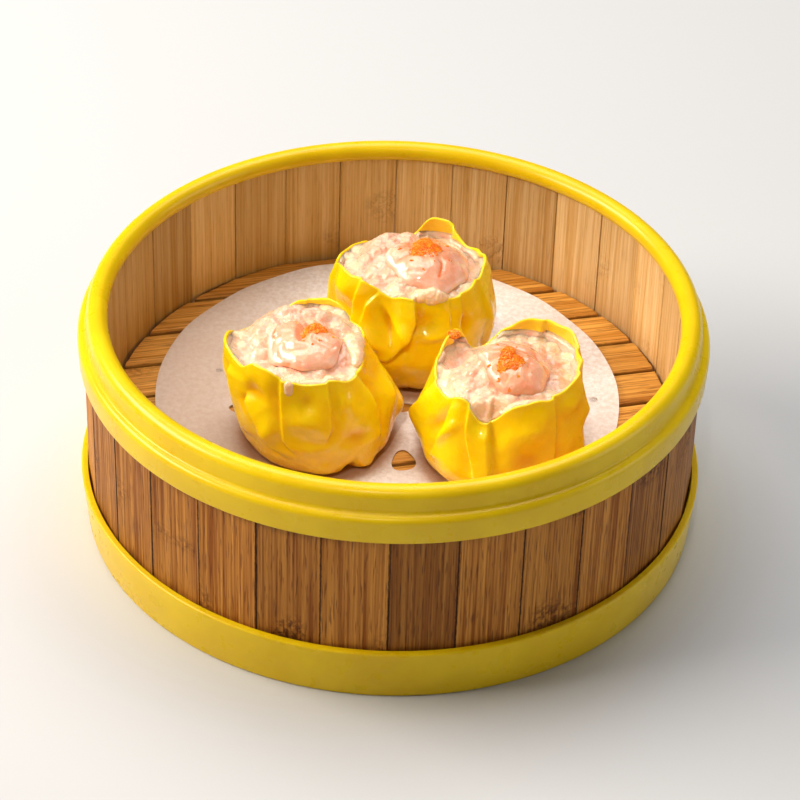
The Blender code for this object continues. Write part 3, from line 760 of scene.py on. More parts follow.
# Each dumpling. A fold is a pleat's edge: which side of it stands out (1 is anticlockwise), how
# far, and its line up the wall as level and angle, 0 at the foot and 1 at the rim. A dent is a
# soft hollow or swelling: its angle and level, its half width and half height (degrees, share of
# the height), how far it stands out and how it slants, in degrees for the whole height. A flap is
# a corner of the wrapper: angle, half width, rise, outward lean. A mound is a lump of filling: its
# place from the middle, its radius and height. Paste is filling smeared over the rim: from one
# angle to another, with its thickness, how far it stands above the rim and how far inside it. A
# crease runs over the prawn's back from one place to another, with its bow, depth, width and how
# orange its vein is. The prawn has its place, radius and the direction of its curl's notch; the
# roe its place, half width and half depth; the drip its angle, level and radius.
DUMPLINGS = {
    "left": {
        "foot_offset": (2.4, -0.15),
        "foot_radius": 18.3,
        "rim_radii": (17.8, 16.6),
        "rim_shift": (-4.2, 0.4),
        "rim_height": 26.2,
        "belly": 1.6,
        "flaps": (
            (-178, 16, 1.6, 1.2), (-122, 18, 3.0, 0.4), (-40, 20, -0.8, 0.6), (36, 16, -1.6, 0.0),
            (76, 24, 2.0, 0.6), (134, 26, -3.2, 0.0),
        ),
        "folds": (
            (1, 1.0, ((0.27, -101), (0.42, -109), (0.7, -106), (1.0, -105))),
            (-1, 1.0, ((0.40, -79), (0.55, -71), (0.75, -67), (1.0, -66))),
            (-1, 0.9, ((0.26, -34), (0.57, -28), (0.8, -30), (1.0, -38))),
            (1, 1.2, ((0.20, -110), (0.3, -123), (0.5, -131), (0.66, -138))),
            (-1, 1.0, ((0.2, 16), (0.6, 8), (1.0, 4))),
            (1, 0.9, ((0.15, 52), (0.6, 44), (1.0, 48))),
            (-1, 1.1, ((0.2, 96), (0.6, 90), (1.0, 88))),
            (1, 0.9, ((0.3, 132), (0.7, 126), (1.0, 122))),
            (-1, 1.0, ((0.2, 172), (0.6, 166), (1.0, 160))),
            (1, 0.9, ((0.25, -152), (0.6, -158), (0.85, -160))),
        ),
        "dents": (
            (-130, 0.74, 12, 0.12, -0.8, 0), (-84, 0.84, 9, 0.08, -0.7, 0), (-90, 0.66, 11, 0.09, 0.8, 0),
            (-88, 0.46, 11, 0.07, -0.5, 0), (-55, 0.79, 9, 0.12, 0.7, 0), (-51, 0.42, 12, 0.09, -0.8, 0),
            (-120, 0.43, 8, 0.11, 0.9, 40), (-10, 0.60, 8, 0.16, 1.3, 20), (4, 0.32, 10, 0.14, 1.0, -20),
            (-61, 0.03, 5, 0.06, -1.9, 0), (-47, 0.05, 8, 0.08, 0.9, 0), (-80, 0.10, 10, 0.08, 0.7, 0),
            (0, 1.0, 24, 0.24, -2.2, 0), (-150, 0.55, 8, 0.2, -0.7, 0), (70, 0.5, 12, 0.2, 0.8, 30),
            (150, 0.4, 12, 0.2, 0.8, -30),
        ),
        "filling_height": 25.4,
        "crown": 3.0,
        "mounds": (
            (-9.0, 4.0, 5.0, 1.8), (-4.0, 10.0, 5.0, 2.8), (4.0, 11.0, 4.0, 1.8), (10.5, -4.0, 3.5, 1.2),
            (-8.0, -7.0, 4.5, -1.8),
        ),
        "prawn": (1.0, -2.4, 9.0, 80),
        "creases": (
            (0.2, 9.0, -0.8, -2.0, 0.6, 1.5, 1.3, 0.15), (-8.0, -2.0, -6.5, 6.5, -0.4, 0.2, 0.6, 0.8),
            (-7.0, -4.0, -3.0, -7.5, 0.5, 0.3, 0.6, 0.7), (-3.5, 1.0, -7.5, 0.5, 0.3, 0.35, 0.7, 0.3),
            (1.5, -1.0, 7.0, -3.0, 0.6, 0.4, 0.9, 0.1), (2.0, 3.0, 7.5, 2.5, -0.5, 0.4, 0.9, 0.2),
            (-5.0, -3.5, 0.5, -4.5, 0.6, 0.35, 0.8, 0.5),
        ),
        "roe": (2.8, 0.8, 3.0, 4.0),
        "paste": ((-112, -24, 1.3, -0.3, 1.5), (-32, 22, 2.5, 0.7, 2.3), (-150, -118, 0.8, -0.5, 1.2)),
        "drip": (-98, 0.95, 1.2),
    },
    "back": {
        "foot_offset": (0.3, 0.3),
        "foot_radius": 18.6,
        "rim_radii": (18.0, 15.0),
        "rim_shift": (-0.4, -1.6),
        "rim_height": 27.6,
        "belly": 1.8,
        "flaps": (
            (62, 20, 4.4, 1.4), (14, 14, 1.6, 1.0), (-42, 20, -0.8, 0.6), (-146, 28, 3.8, 1.0),
            (112, 26, -2.4, 0.0),
        ),
        "folds": (
            (-1, 1.7, ((0.36, -109), (0.5, -98), (0.62, -90), (0.8, -83), (0.95, -84))),
            (1, 1.0, ((0.45, -124), (0.65, -128), (0.85, -126), (1.0, -118))),
            (1, 1.1, ((0.5, -140), (0.75, -138), (1.0, -134))),
            (-1, 0.8, ((0.55, -55), (0.8, -54), (1.0, -53))),
            (-1, 0.8, ((0.4, -42), (0.7, -43), (1.0, -41))),
            (1, 0.9, ((0.1, -14), (0.6, -18), (1.0, -16))),
            (-1, 1.0, ((0.1, 22), (0.6, 16), (1.0, 12))),
            (1, 1.0, ((0.2, 60), (0.6, 54), (1.0, 50))),
            (-1, 1.0, ((0.15, 104), (0.6, 98), (1.0, 96))),
            (1, 1.1, ((0.2, 140), (0.6, 136), (1.0, 132))),
            (-1, 1.0, ((0.2, -166), (0.6, -170), (1.0, -172))),
        ),
        "dents": (
            (-107, 0.76, 6, 0.13, -1.4, -50), (-116, 0.60, 9, 0.09, 1.6, -50), (-94, 0.70, 8, 0.12, 0.9, -60),
            (-71, 0.66, 13, 0.05, 0.7, 0), (-68, 0.80, 10, 0.08, -0.6, 0), (-84, 0.36, 26, 0.14, 0.8, 0),
            (-150, 0.86, 12, 0.09, 0.9, 0), (-150, 0.68, 12, 0.06, -0.8, 0), (-40, 0.70, 5, 0.08, -0.5, 0),
            (-16, 0.62, 10, 0.2, 0.9, 0), (6, 0.5, 12, 0.2, 0.8, 20), (60, 0.4, 14, 0.2, 0.7, 0),
            (-60, 0.05, 10, 0.08, 0.6, 0), (-90, 0.04, 7, 0.06, -0.7, 0),
        ),
        "filling_height": 26.8,
        "crown": 3.6,
        "mounds": (
            (-9.5, 2.0, 5.0, 1.8), (-6.5, 8.0, 4.5, 2.2), (-1.0, 9.0, 4.0, 1.4), (2.0, -9.0, 4.0, 0.6),
        ),
        "prawn": (4.6, -0.8, 10.6, 130),
        "creases": (
            (-4.0, 6.0, -2.5, -2.0, 0.8, 0.6, 1.3, 0.1), (-8.0, -3.5, -0.5, -2.5, -1.2, 0.35, 0.9, 0.7),
            (2.6, -8.0, 3.2, -2.5, 0.3, 0.3, 0.8, 0.9), (-2.0, -2.0, 9.0, 0.5, 0.9, 0.3, 1.1, 0.15),
            (1.5, 1.0, 8.0, 5.0, 0.5, 0.25, 1.0, 0.4), (-9.0, 2.5, -3.5, 3.0, 0.4, 0.25, 0.9, 0.4),
            (-7.0, -6.0, -1.0, -7.5, 0.4, 0.25, 0.8, 0.5),
        ),
        "roe": (3.6, 1.0, 4.0, 5.2),
        "paste": ((-88, -50, 2.2, 0.5, 1.6), (-118, -90, 1.3, -0.2, 1.8)),
        "drip": None,
    },
    "right": {
        "foot_offset": (0.15, -0.35),
        "foot_radius": 18.8,
        "rim_radii": (16.8, 15.4),
        "rim_shift": (-0.4, 1.6),
        "rim_height": 24.2,
        "belly": 2.0,
        "flaps": (
            (140, 15, 3.2, 0.4), (48, 38, 3.6, 4.2), (-5, 16, 2.4, 1.6), (-60, 22, 0.8, 0.4),
            (-104, 15, -4.6, 0.0), (-158, 20, -2.2, 0.0), (110, 14, -4.2, 0.0),
        ),
        "folds": (
            (1, 1.3, ((0.34, -109), (0.5, -111), (0.8, -119), (0.98, -121))),
            (-1, 1.3, ((0.30, -97), (0.5, -98), (0.9, -101), (1.0, -102))),
            (1, 1.2, ((0.05, -194), (0.4, -184), (0.95, -171))),
            (1, 0.9, ((0.3, -148), (0.6, -142), (0.9, -138))),
            (-1, 1.1, ((0.3, -52), (0.6, -49), (1.0, -43))),
            (-1, 1.0, ((0.25, -20), (0.6, -12), (1.0, -8))),
            (1, 1.0, ((0.1, 22), (0.6, 16), (1.0, 20))),
            (-1, 1.0, ((0.15, 66), (0.6, 60), (1.0, 58))),
            (1, 1.0, ((0.2, 106), (0.6, 100), (1.0, 98))),
            (-1, 1.1, ((0.2, 146), (0.6, 140), (1.0, 138))),
        ),
        "dents": (
            (-182, 0.50, 12, 0.18, 1.2, 20), (-179, 0.17, 7, 0.06, -1.4, 0), (-133, 0.7, 6, 0.14, 0.7, 60),
            (-150, 0.66, 8, 0.16, -0.7, 50), (-128, 0.3, 16, 0.12, 0.9, 0), (-70, 0.75, 14, 0.12, 0.9, 0),
            (-68, 0.45, 14, 0.12, -0.8, 0), (-28, 0.85, 9, 0.08, 0.8, 0), (-8, 0.66, 9, 0.10, 0.9, 0),
            (-4, 0.46, 10, 0.09, -0.6, 0), (-18, 0.25, 12, 0.1, 0.7, 0), (-140, 0.06, 9, 0.07, -0.8, 0),
            (40, 0.5, 14, 0.2, 0.7, 20), (120, 0.5, 12, 0.2, -0.7, 20),
        ),
        "filling_height": 23.2,
        "crown": 3.4,
        "mounds": (
            (-4.5, 0.5, 5.0, 1.8), (-1.0, 6.0, 4.0, 0.8), (-10.0, 5.0, 4.0, -3.0), (-5.0, 11.0, 4.0, -2.4),
            (4.0, -7.0, 4.0, 0.5),
        ),
        "prawn": (2.2, -1.4, 9.2, 200),
        "creases": (
            (-3.5, 6.0, 8.0, 1.5, 0.8, 0.4, 1.0, 0.5), (-6.0, -1.5, 3.0, -1.0, -0.8, 0.35, 0.9, 0.2),
            (-2.0, -7.5, -0.5, -1.0, 0.5, 0.3, 0.9, 0.15), (3.5, -7.0, 4.0, -0.5, -0.4, 0.3, 0.9, 0.3),
            (5.0, 4.0, 9.0, -2.0, 0.4, 0.2, 0.8, 0.6), (-8.0, 3.0, -2.0, 2.0, 0.6, 0.3, 0.8, 0.1),
        ),
        "roe": (1.4, -2.6, 3.2, 4.4),
        "paste": ((-112, -50, 1.2, -0.3, 1.6), (-172, -124, 1.3, -0.3, 1.8),),
        "drip": None,
    },
}


# ---------------------------------------------------------------- dumplings: wrappers

def turn_between(angle, degrees):
    """The signed angle from a direction in degrees, between -pi and pi."""
    return (angle - np.radians(degrees) + math.pi) % math.tau - math.pi


def flap_weights(dumpling, angle):
    """The rise and the outward lean that the wrapper's corners give the rim at an angle."""
    rise = np.zeros_like(angle)
    lean = np.zeros_like(angle)
    for degrees, half_width, flap_rise, flap_lean in dumpling["flaps"]:
        weight = np.exp(-np.abs(turn_between(angle, degrees) / math.radians(half_width)) ** 3)
        rise += weight * flap_rise
        lean += weight * flap_lean
    return rise, lean


def fold_offset(dumpling, angle, level):
    """How far the pleats stand out: each rises to its edge and drops behind it."""
    offset = np.zeros_like(angle)
    press = FOLD_PRESS * smooth((level - FOLD_PRESS_START) / (1.0 - FOLD_PRESS_START))
    for side, depth, line in dumpling["folds"]:
        levels, angles = np.array(line).T
        crease = np.interp(level, levels, angles)
        along = side * turn_between(angle, crease) * dumpling["foot_radius"]
        present = smooth((level - levels[0]) / FOLD_FADE) * (1.0 - press)
        if levels[-1] < FULL_FOLD_LEVEL:
            present = present * (1.0 - smooth((level - levels[-1]) / FOLD_FADE))
        over = 0.5 * (1.0 + np.tanh(along / FOLD_EDGE))
        swell = over * np.exp(-(along / FOLD_SPREAD) ** 2)
        undercut = (1.0 - over) * np.exp(-(along / FOLD_UNDERCUT) ** 2)
        offset = offset + depth * present * (swell - FOLD_UNDERCUT_SHARE * undercut)
    return offset


def dent_offset(dumpling, angle, level):
    """How far the soft hollows and swellings move the wall."""
    offset = np.zeros_like(angle)
    for degrees, middle, half_width, half_height, depth, slant in dumpling["dents"]:
        across = turn_between(angle, degrees + slant * (level - middle)) / math.radians(half_width)
        up = (level - middle) / half_height
        offset = offset + DENT_STRENGTH * depth * np.exp(-across ** 2 - up ** 2)
    return offset


def foot_centre(side):
    """Middle of a dumpling's foot on the paper."""
    middle = middle_mm(f"{side}_wrapper")
    offset = DUMPLINGS[side]["foot_offset"]
    return middle[0] + offset[0], middle[1] + offset[1]


def rim_middle(side):
    """Middle of a dumpling's open top."""
    centre = foot_centre(side)
    shift = DUMPLINGS[side]["rim_shift"]
    return centre[0] + shift[0], centre[1] + shift[1]


def wall_height(dumpling, angle):
    """Height of the rim at an angle, with the small waves of a cut edge."""
    height = dumpling["rim_height"] + flap_weights(dumpling, angle)[0]
    for wave, number, phase in RIM_WAVES:
        height = height + wave * np.sin(number * angle + phase)
    return height


def wall_point(side, angle, level, inset=0.0):
    """Points of the wrapper's side, from its foot (level 0) to its rim (level 1)."""
    dumpling = DUMPLINGS[side]
    angle, level = np.broadcast_arrays(np.asarray(angle, float), np.asarray(level, float))
    rim_x, rim_y = dumpling["rim_radii"]
    rim = 1.0 / np.hypot(np.cos(angle) / rim_x, np.sin(angle) / rim_y)
    share = smooth(level)
    radius = dumpling["foot_radius"] + (rim - dumpling["foot_radius"]) * share
    radius = radius + dumpling["belly"] * np.sin(math.pi * level)
    radius = radius + fold_offset(dumpling, angle, level) + dent_offset(dumpling, angle, level)
    lean = flap_weights(dumpling, angle)[1]
    radius = radius + lean * smooth((level - LEAN_START) / (1.0 - LEAN_START))
    foot = np.clip(level / FOOT_ROUNDING, 0.0, 1.0)
    radius = radius * (1.0 - FOOT_INSET * (1.0 - np.sqrt(foot * (2.0 - foot)))) - inset
    centre = foot_centre(side)
    x = centre[0] + dumpling["rim_shift"][0] * share + radius * np.cos(angle)
    y = centre[1] + dumpling["rim_shift"][1] * share + radius * np.sin(angle)
    return np.stack([x, y, FOOD_BOTTOM + wall_height(dumpling, angle) * level], -1)


def column_angles(count):
    """Evenly spaced directions all the way round."""
    return np.linspace(0.0, math.tau, count, endpoint=False)


def around(points):
    """Unit vectors that point out from each row's centre, without height."""
    out = points - points.mean(axis=1, keepdims=True)
    out[..., 2] = 0.0
    return out / np.maximum(np.linalg.norm(out, axis=-1, keepdims=True), 1e-9)


def wall_thickness(level):
    """The wall thins towards its cut edge."""
    near_edge = smooth((level - THINNING_START) / (1.0 - THINNING_START))
    return WRAPPER_THICKNESS * (1.0 - EDGE_THINNING * near_edge)


def wall_roughness(side, points, level):
    """How far small unevenness moves points of the wall: most just above the foot's rounding."""
    rough = 0.0
    for height, size, seed in WALL_ROUGHNESS:
        rough = rough + height * noise_field(points, size, len(side) + seed)
    return rough * smooth(level / 0.1) * (1.5 - smooth(level / 0.6) * 0.5)


def wrapper_masks(side, angle, level, rows_before, rows_after):
    """Painted shade where the outer wall sinks in, low on it and under the foot, and where it is cut."""
    dumpling = DUMPLINGS[side]
    # Painted shade: darker where the pleats and dents sink the wall in, and towards the foot.
    relief = fold_offset(dumpling, angle, level) + dent_offset(dumpling, angle, level)
    lower = 0.5 * (1.0 - smooth(level / 0.55))
    wall = np.clip(0.6 * smooth(-relief / 1.1) + lower, 0.0, 0.9)
    near_edge = 0.1 * smooth((level - 0.985) / 0.015)

    def column(value, count):
        return np.full((count, level.shape[1]), value)

    inside = rows_after - EDGE_ROWS
    # Painted shade under the foot stays at 0.4; inside the cup there is none.
    hollow = np.vstack([column(0.4, rows_before), wall, column(0.0, rows_after)])
    edge = np.vstack([column(0.0, rows_before), near_edge, column(0.1, EDGE_ROWS), column(0.2, inside)])
    return {"hollow": hollow, "edge": edge}


def make_wrapper(side, material):
    """A thin cup: under the foot, up the pleated wall, over a rounded cut edge and down inside."""
    angle, outer_level = np.meshgrid(column_angles(COLUMNS), np.linspace(0.0, 1.0, OUTER_ROWS))
    outer = wall_point(side, angle, outer_level)
    rough = wall_roughness(side, outer, outer_level)[..., None]
    outer = outer + around(outer) * rough

    angle = angle[:1]
    rim = wall_point(side, angle, 1.0)
    turn = np.linspace(0.0, math.pi, EDGE_ROWS + 2)[1:-1, None]
    half = wall_thickness(1.0) / 2
    edge = rim + around(rim) * rough[-1] - around(rim) * (half * (1.0 - np.cos(turn)))[..., None]
    edge[..., 2] += half * np.sin(turn)

    inner_level = np.linspace(1.0, INNER_FOOT_LEVEL, INNER_ROWS)[:, None]
    inner = wall_point(side, angle, inner_level, wall_thickness(inner_level))
    inner = inner + around(inner) * wall_roughness(side, inner, inner_level)[..., None]

    centre = np.array([*foot_centre(side), FOOD_BOTTOM])
    foot = wall_point(side, angle, 0.0)
    flat = [foot * (1.0 - share) + centre * share for share in (1.0, 0.6, 0.2)]
    inside_foot = inner[-1:] * 0.1 + centre * 0.9
    inside_foot[..., 2] = FOOD_BOTTOM + WRAPPER_THICKNESS
    rows = np.concatenate([*flat, outer, edge, inner, inside_foot, inside_foot])
    rows_after = len(rows) - len(flat) - OUTER_ROWS
    masks = wrapper_masks(side, angle + 0.0 * outer_level, outer_level, len(flat), rows_after)
    return mesh_piece(f"{side}_wrapper_skin", [closed_grid(rows, masks)], material)


# ---------------------------------------------------------------- dumplings: filling and paste

FILLING_COLUMNS = 260
FILLING_ROWS = 72
# The filling's rows crowd towards its edge, from where it rises over this share of the way in.
FILLING_CROWDING = 0.85
FILLING_RISE = 0.22
# Lumps of the mince: height, size and whether they are round grains or smooth hills.
LUMPS = ((1.1, 3.6, cell_field), (0.5, 5.0, noise_field), (0.3, 1.5, cell_field))
LUMP_MIDDLE = 0.8
ROE_GLOW = 6.0
SMEAR_ROWS = 70
SMEAR_COLUMNS = 22


def filling_level(dumpling, angle):
    """The level of the wrapper's wall that the filling's edge reaches."""
    height = wall_height(dumpling, angle)
    return (np.minimum(dumpling["rim_height"] + FILLING_OVER_RIM, height) + FILLING_ABOVE_EDGE) / height


def filling_top(side, x, y):
    """Height of the filling's uneven mound over a place."""
    dumpling = DUMPLINGS[side]
    middle = rim_middle(side)
    off = np.hypot(x - middle[0], y - middle[1]) / min(dumpling["rim_radii"])
    height = FOOD_BOTTOM + dumpling["filling_height"] + dumpling["crown"] * (1.0 - off ** 2)
    for dx, dy, radius, rise in dumpling["mounds"]:
        distance = np.hypot(x - middle[0] - dx, y - middle[1] - dy) / radius
        height = height + rise * np.exp(-distance ** 2)
    return height


def roe_glow(side, points):
    """How much the roe colours what lies near it."""
    middle = rim_middle(side)
    dx, dy, *_ = DUMPLINGS[side]["roe"]
    distance = np.hypot(points[..., 0] - middle[0] - dx, points[..., 1] - middle[1] - dy)
    return np.exp(-(distance / ROE_GLOW) ** 2)


def make_filling(side, material):
    """Fills the wrapper from its foot and rises from its edge to a wet, lumpy mound."""
    angle = column_angles(FILLING_COLUMNS)[None, :]
    level = filling_level(DUMPLINGS[side], angle)
    shares = (0.12, 0.3, 0.55, 0.75, 0.88, 0.96)
    sides = [wall_point(side, angle, level * share, FILLING_INSET) for share in shares]
    edge = wall_point(side, angle, level, EDGE_INSET)
    edge = edge + around(edge) * wall_roughness(side, edge, level)[..., None]
    foot = sides[0] * 0.1 + np.array([*foot_centre(side), 0.0]) * 0.9
    foot[..., 2] = sides[0][..., 2]

    share = np.linspace(0.0, 1.0, FILLING_ROWS)[:, None] ** FILLING_CROWDING
    top = edge * (1.0 - share[..., None]) + np.array([*rim_middle(side), 0.0]) * share[..., None]
    mound = filling_top(side, top[..., 0], top[..., 1])
    rise = 1.0 - (1.0 - np.clip(share / FILLING_RISE, 0.0, 1.0)) ** 2
    top[..., 2] = edge[..., 2] * (1.0 - rise) + mound * rise
    lumps = 0.0
    for height, size, field in LUMPS:
        lumps = lumps + height * field(top, size, len(side) + 20)
    top[..., 2] += (lumps - LUMP_MIDDLE) * smooth(share / 0.05)

    rows = np.concatenate([foot, foot, *sides, top])
    below = np.zeros((len(rows) - len(top), FILLING_COLUMNS))
    # Orange near the roe; the band along the edge is painted warm light, as if through the yellow wrapper.
    tint = 0.55 * roe_glow(side, top) + 0.3 * (1.0 - smooth(share / 0.12))
    cream = 0.8 * (1.0 - smooth(share / 0.3)) + 0.3 * smooth(lumps - 0.4)
    masks = {"tint": np.vstack([below, tint]), "cream": np.vstack([below, np.clip(cream, 0.0, 1.0)])}
    return mesh_piece(f"{side}_filling_paste", [closed_grid(rows, masks)], material)


def smear(side, start, end, thickness, lift, inset, seed):
    """A roll of paste that lies along the rim, thick in its middle and lumpy."""
    along = np.linspace(0.0, 1.0, SMEAR_ROWS)
    angle = np.radians(start + (end - start) * along)
    path = wall_point(side, angle, 0.99, inset)
    path[:, 2] += lift
    turn = column_angles(SMEAR_COLUMNS)
    ring = np.stack([
        np.outer(np.cos(angle), np.cos(turn)),
        np.outer(np.sin(angle), np.cos(turn)),
        np.outer(np.ones(SMEAR_ROWS), np.sin(turn)),
    ], -1)
    rough = path[:, None, :] + ring * thickness
    size = 1.0 + 0.3 * noise_field(rough, 2.6, seed) + 0.12 * noise_field(rough, 1.1, seed + 1)
    ends = np.clip(np.sin(math.pi * along), 0.0, 1.0) ** 0.45
    rows = path[:, None, :] + ring * (thickness * size * ends[:, None])[..., None]
    blank = np.zeros(rows.shape[:2])
    return closed_grid(rows, {"tint": blank, "cream": blank + 0.85})


def droplet(middle, radii, seed=None, rows_count=18, columns=24):
    """A small rounded blob, uneven where it has a seed. Its masks are those of the paste."""
    rise = np.linspace(-math.pi / 2, math.pi / 2, rows_count)[:, None]
    turn = column_angles(columns)[None, :]
    unit = np.stack([np.cos(rise) * np.cos(turn), np.cos(rise) * np.sin(turn), np.sin(rise) + 0 * turn], -1)
    rows = np.array(middle) + unit * np.array(radii)
    if seed is not None:
        rows = rows + unit * (0.25 * noise_field(rows, 1.5, seed))[..., None]
    blank = np.zeros(rows.shape[:2])
    return closed_grid(rows, {"tint": blank, "cream": blank + 0.9})


def make_paste(side, material):
    """The paste smeared over the rim, with the drop that runs down the wall."""
    dumpling = DUMPLINGS[side]
    shells = [smear(side, *smeared, seed=31 + number) for number, smeared in enumerate(dumpling["paste"])]
    if dumpling["drip"]:
        degrees, level, radius = dumpling["drip"]
        place = wall_point(side, math.radians(degrees), level, 0.2)
        shells.append(droplet(place, (radius, radius * 0.8, radius * 1.9), 5))
    return mesh_piece(f"{side}_paste", shells, material)


# ---------------------------------------------------------------- dumplings: prawns

PRAWN_COLUMNS = 220
PRAWN_ROWS = 56
PRAWN_NOTCH = 0.30
PRAWN_NOTCH_WIDTH = 30
PRAWN_THICKNESS = 3.2
PRAWN_BEDDING = 1.2
DOME_POWER = 0.5
VEIN_WIDTH = 0.28


def prawn_reach(dumpling, angle):
    """Outline of the curled prawn about its centre: round, with the notch of the curl."""
    _, _, radius, notch = dumpling["prawn"]
    near_notch = np.exp(-(turn_between(angle, notch) / math.radians(PRAWN_NOTCH_WIDTH)) ** 2)
    waves = 0.05 * np.cos(3 * angle + radius) + 0.035 * np.cos(7 * angle + 2 * radius)
    return radius * (1.0 - PRAWN_NOTCH * near_notch + waves)


def prawn_centre(side):
    """Middle of the curled prawn."""
    x, y = rim_middle(side)
    return x + DUMPLINGS[side]["prawn"][0], y + DUMPLINGS[side]["prawn"][1]


def prawn_relief(dumpling, angle, share):
    """Height of the prawn's back over the filling, with its creases, its vein mask and its skin
    mask, which is a painted highlight along the rim on the left side.
    """
    reach = share * prawn_reach(dumpling, angle)
    x, y = reach * np.cos(angle), reach * np.sin(angle)
    height = PRAWN_THICKNESS * (1.0 - share ** 2) ** DOME_POWER
    vein = np.zeros_like(height)
    for start_x, start_y, end_x, end_y, bow, depth, width, tint in dumpling["creases"]:
        run_x, run_y = end_x - start_x, end_y - start_y
        length = math.hypot(run_x, run_y)
        along = ((x - start_x) * run_x + (y - start_y) * run_y) / length ** 2
        bend = bow * np.sin(math.pi * np.clip(along, 0.0, 1.0))
        off = ((x - start_x) * run_y - (y - start_y) * run_x) / length - bend
        present = smooth((along + 0.1) / 0.2) * smooth((1.1 - along) / 0.2)
        height = height - depth * present * np.exp(-(off / width) ** 2)
        vein = np.maximum(vein, tint * present * np.exp(-(off / VEIN_WIDTH) ** 2))
    # Painted highlight: a pale band near the rim, on the left side only, towards the key light.
    skin = 0.6 * np.exp(-((share - 0.93) / 0.04) ** 2) * np.clip(-np.cos(angle), 0.0, 1.0)
    return height, vein, skin


def prawn_top(side, x, y):
    """Height of the prawn's back over a place."""
    dumpling = DUMPLINGS[side]
    centre = prawn_centre(side)
    angle = np.arctan2(y - centre[1], x - centre[0])
    share = np.clip(np.hypot(x - centre[0], y - centre[1]) / prawn_reach(dumpling, angle), 0.0, 1.0)
    return filling_top(side, x, y) + prawn_relief(dumpling, angle, share)[0]


def make_prawn(side, material):
    """The curled prawn, bedded in the filling."""
    dumpling = DUMPLINGS[side]
    centre = prawn_centre(side)
    angle = column_angles(PRAWN_COLUMNS)[None, :]
    reach = prawn_reach(dumpling, angle)

    def at(share, height):
        x = centre[0] + share * reach * np.cos(angle)
        y = centre[1] + share * reach * np.sin(angle)
        return np.stack([x, y, filling_top(side, x, y) + height], -1)

    under_share = np.array([0.0, 0.5, 0.9])[:, None]
    back_share = np.sin(np.linspace(math.pi / 2, 0.0, PRAWN_ROWS))[:, None]
    relief, vein, skin = prawn_relief(dumpling, angle, back_share)
    under = at(under_share, -PRAWN_BEDDING)
    back = at(back_share, relief)
    uneven = 0.3 * noise_field(back, 3.0, 41) + 0.1 * noise_field(back, 1.2, 42)
    back[..., 2] += uneven * (1 - back_share ** 4)
    masks = {"vein": vein, "skin": skin, "tint": 0.62 * roe_glow(side, back)}
    hidden = np.zeros(under.shape[:2])
    masks = {name: np.vstack([hidden, mask]) for name, mask in masks.items()}
    rows = np.concatenate([under, back])
    return mesh_piece(f"{side}_curled_prawn", [closed_grid(rows, masks)], material)


# ---------------------------------------------------------------- roe

ROE_SIZE = 0.55
ROE_HEAP = 0.45
# Eggs lie at least this share of their size apart. Their number before the close ones are dropped
# is this many on a square as wide as an egg.
ROE_SPACING = 0.62
ROE_CROWDING = 2.2
# How much of the heap's size the ground under the eggs covers, and the ground of a single egg in mm.
ROE_GROUND = 0.92
STRAY_RADIUS = 0.32
STRAY_RISE = 0.05
# Single eggs beside a heap: direction in radians and distance as a share of the heap's size.
ROE_STRAYS = ((0.4, 1.5), (1.2, 1.3), (2.3, 1.4), (3.3, 1.6), (4.1, 1.45), (4.7, 1.7), (5.2, 1.3), (5.9, 1.7))

# A few eggs on a corner of the right wrapper: angle, level and radius of their heap.
TONGUE_EGGS = ("right", 140, 1.0, 1.4)


def roe_tree():
    """Round eggs scattered over a heap, as close as their size lets them lie."""
    inputs = {"Size": "Float", "Seed": "Int", "Material": "Material"}
    tree, given = node_tree("roe_heap", inputs)
    size = given["Size"]
    spacing = add_node(tree, "ShaderNodeMath", {0: size, 1: ROE_SPACING}, operation="MULTIPLY")
    area = add_node(tree, "ShaderNodeMath", {0: size, 1: size}, operation="MULTIPLY")
    density = add_node(tree, "ShaderNodeMath", {0: ROE_CROWDING, 1: area}, operation="DIVIDE")
    scattered = add_node(tree, "GeometryNodeDistributePointsOnFaces",
                         {"Mesh": given["Geometry"], "Distance Min": spacing, "Density Max": density,
                          "Seed": given["Seed"]}, distribute_method="POISSON")
    radius = add_node(tree, "ShaderNodeMath", {0: size, 1: 0.5}, operation="MULTIPLY")
    ball = add_node(tree, "GeometryNodeMeshIcoSphere", {"Radius": radius, "Subdivisions": 2})
    egg = add_node(tree, "GeometryNodeSetShadeSmooth", {"Geometry": ball})
    scale_seed = add_node(tree, "ShaderNodeMath", {0: given["Seed"], 1: 5.0}, operation="ADD")
    scale = add_node(tree, "FunctionNodeRandomValue", {"Min": 0.75, "Max": 1.15, "Seed": scale_seed},
                     data_type="FLOAT")
    eggs = add_node(tree, "GeometryNodeInstanceOnPoints",
                    {"Points": scattered, "Instance": egg, "Scale": scale})
    joined = add_node(tree, "GeometryNodeJoinGeometry", {0: eggs})
    tree.links.new(given["Geometry"], joined.inputs[0])
    finish_tree(tree, joined, given["Material"])
    return tree


def roe_patch(side, dx, dy, half_width, half_depth, rise):
    """A low heap under the eggs, three-cornered, on the prawn's back."""
    middle = rim_middle(side)
    angle = column_angles(36)[None, :]
    reach = 1.0 + 0.2 * np.sin(3.0 * angle + 2.6) + 0.1 * np.sin(5.0 * angle + 1.0)
    under = np.array([0.0, 0.6, 0.95])[:, None]
    over = np.array([1.0, 0.92, 0.8, 0.6, 0.35, 0.0])[:, None]

    def at(share, height):
        x = middle[0] + dx + half_width * share * reach * np.cos(angle)
        y = middle[1] + dy + half_depth * share * reach * np.sin(angle)
        return np.stack([x, y, prawn_top(side, x, y) + height], -1)

    rows = np.concatenate([at(under, -0.3 + 0 * angle), at(over, rise * (1.0 - over ** 2) + 0 * angle)])
    return closed_grid(rows)


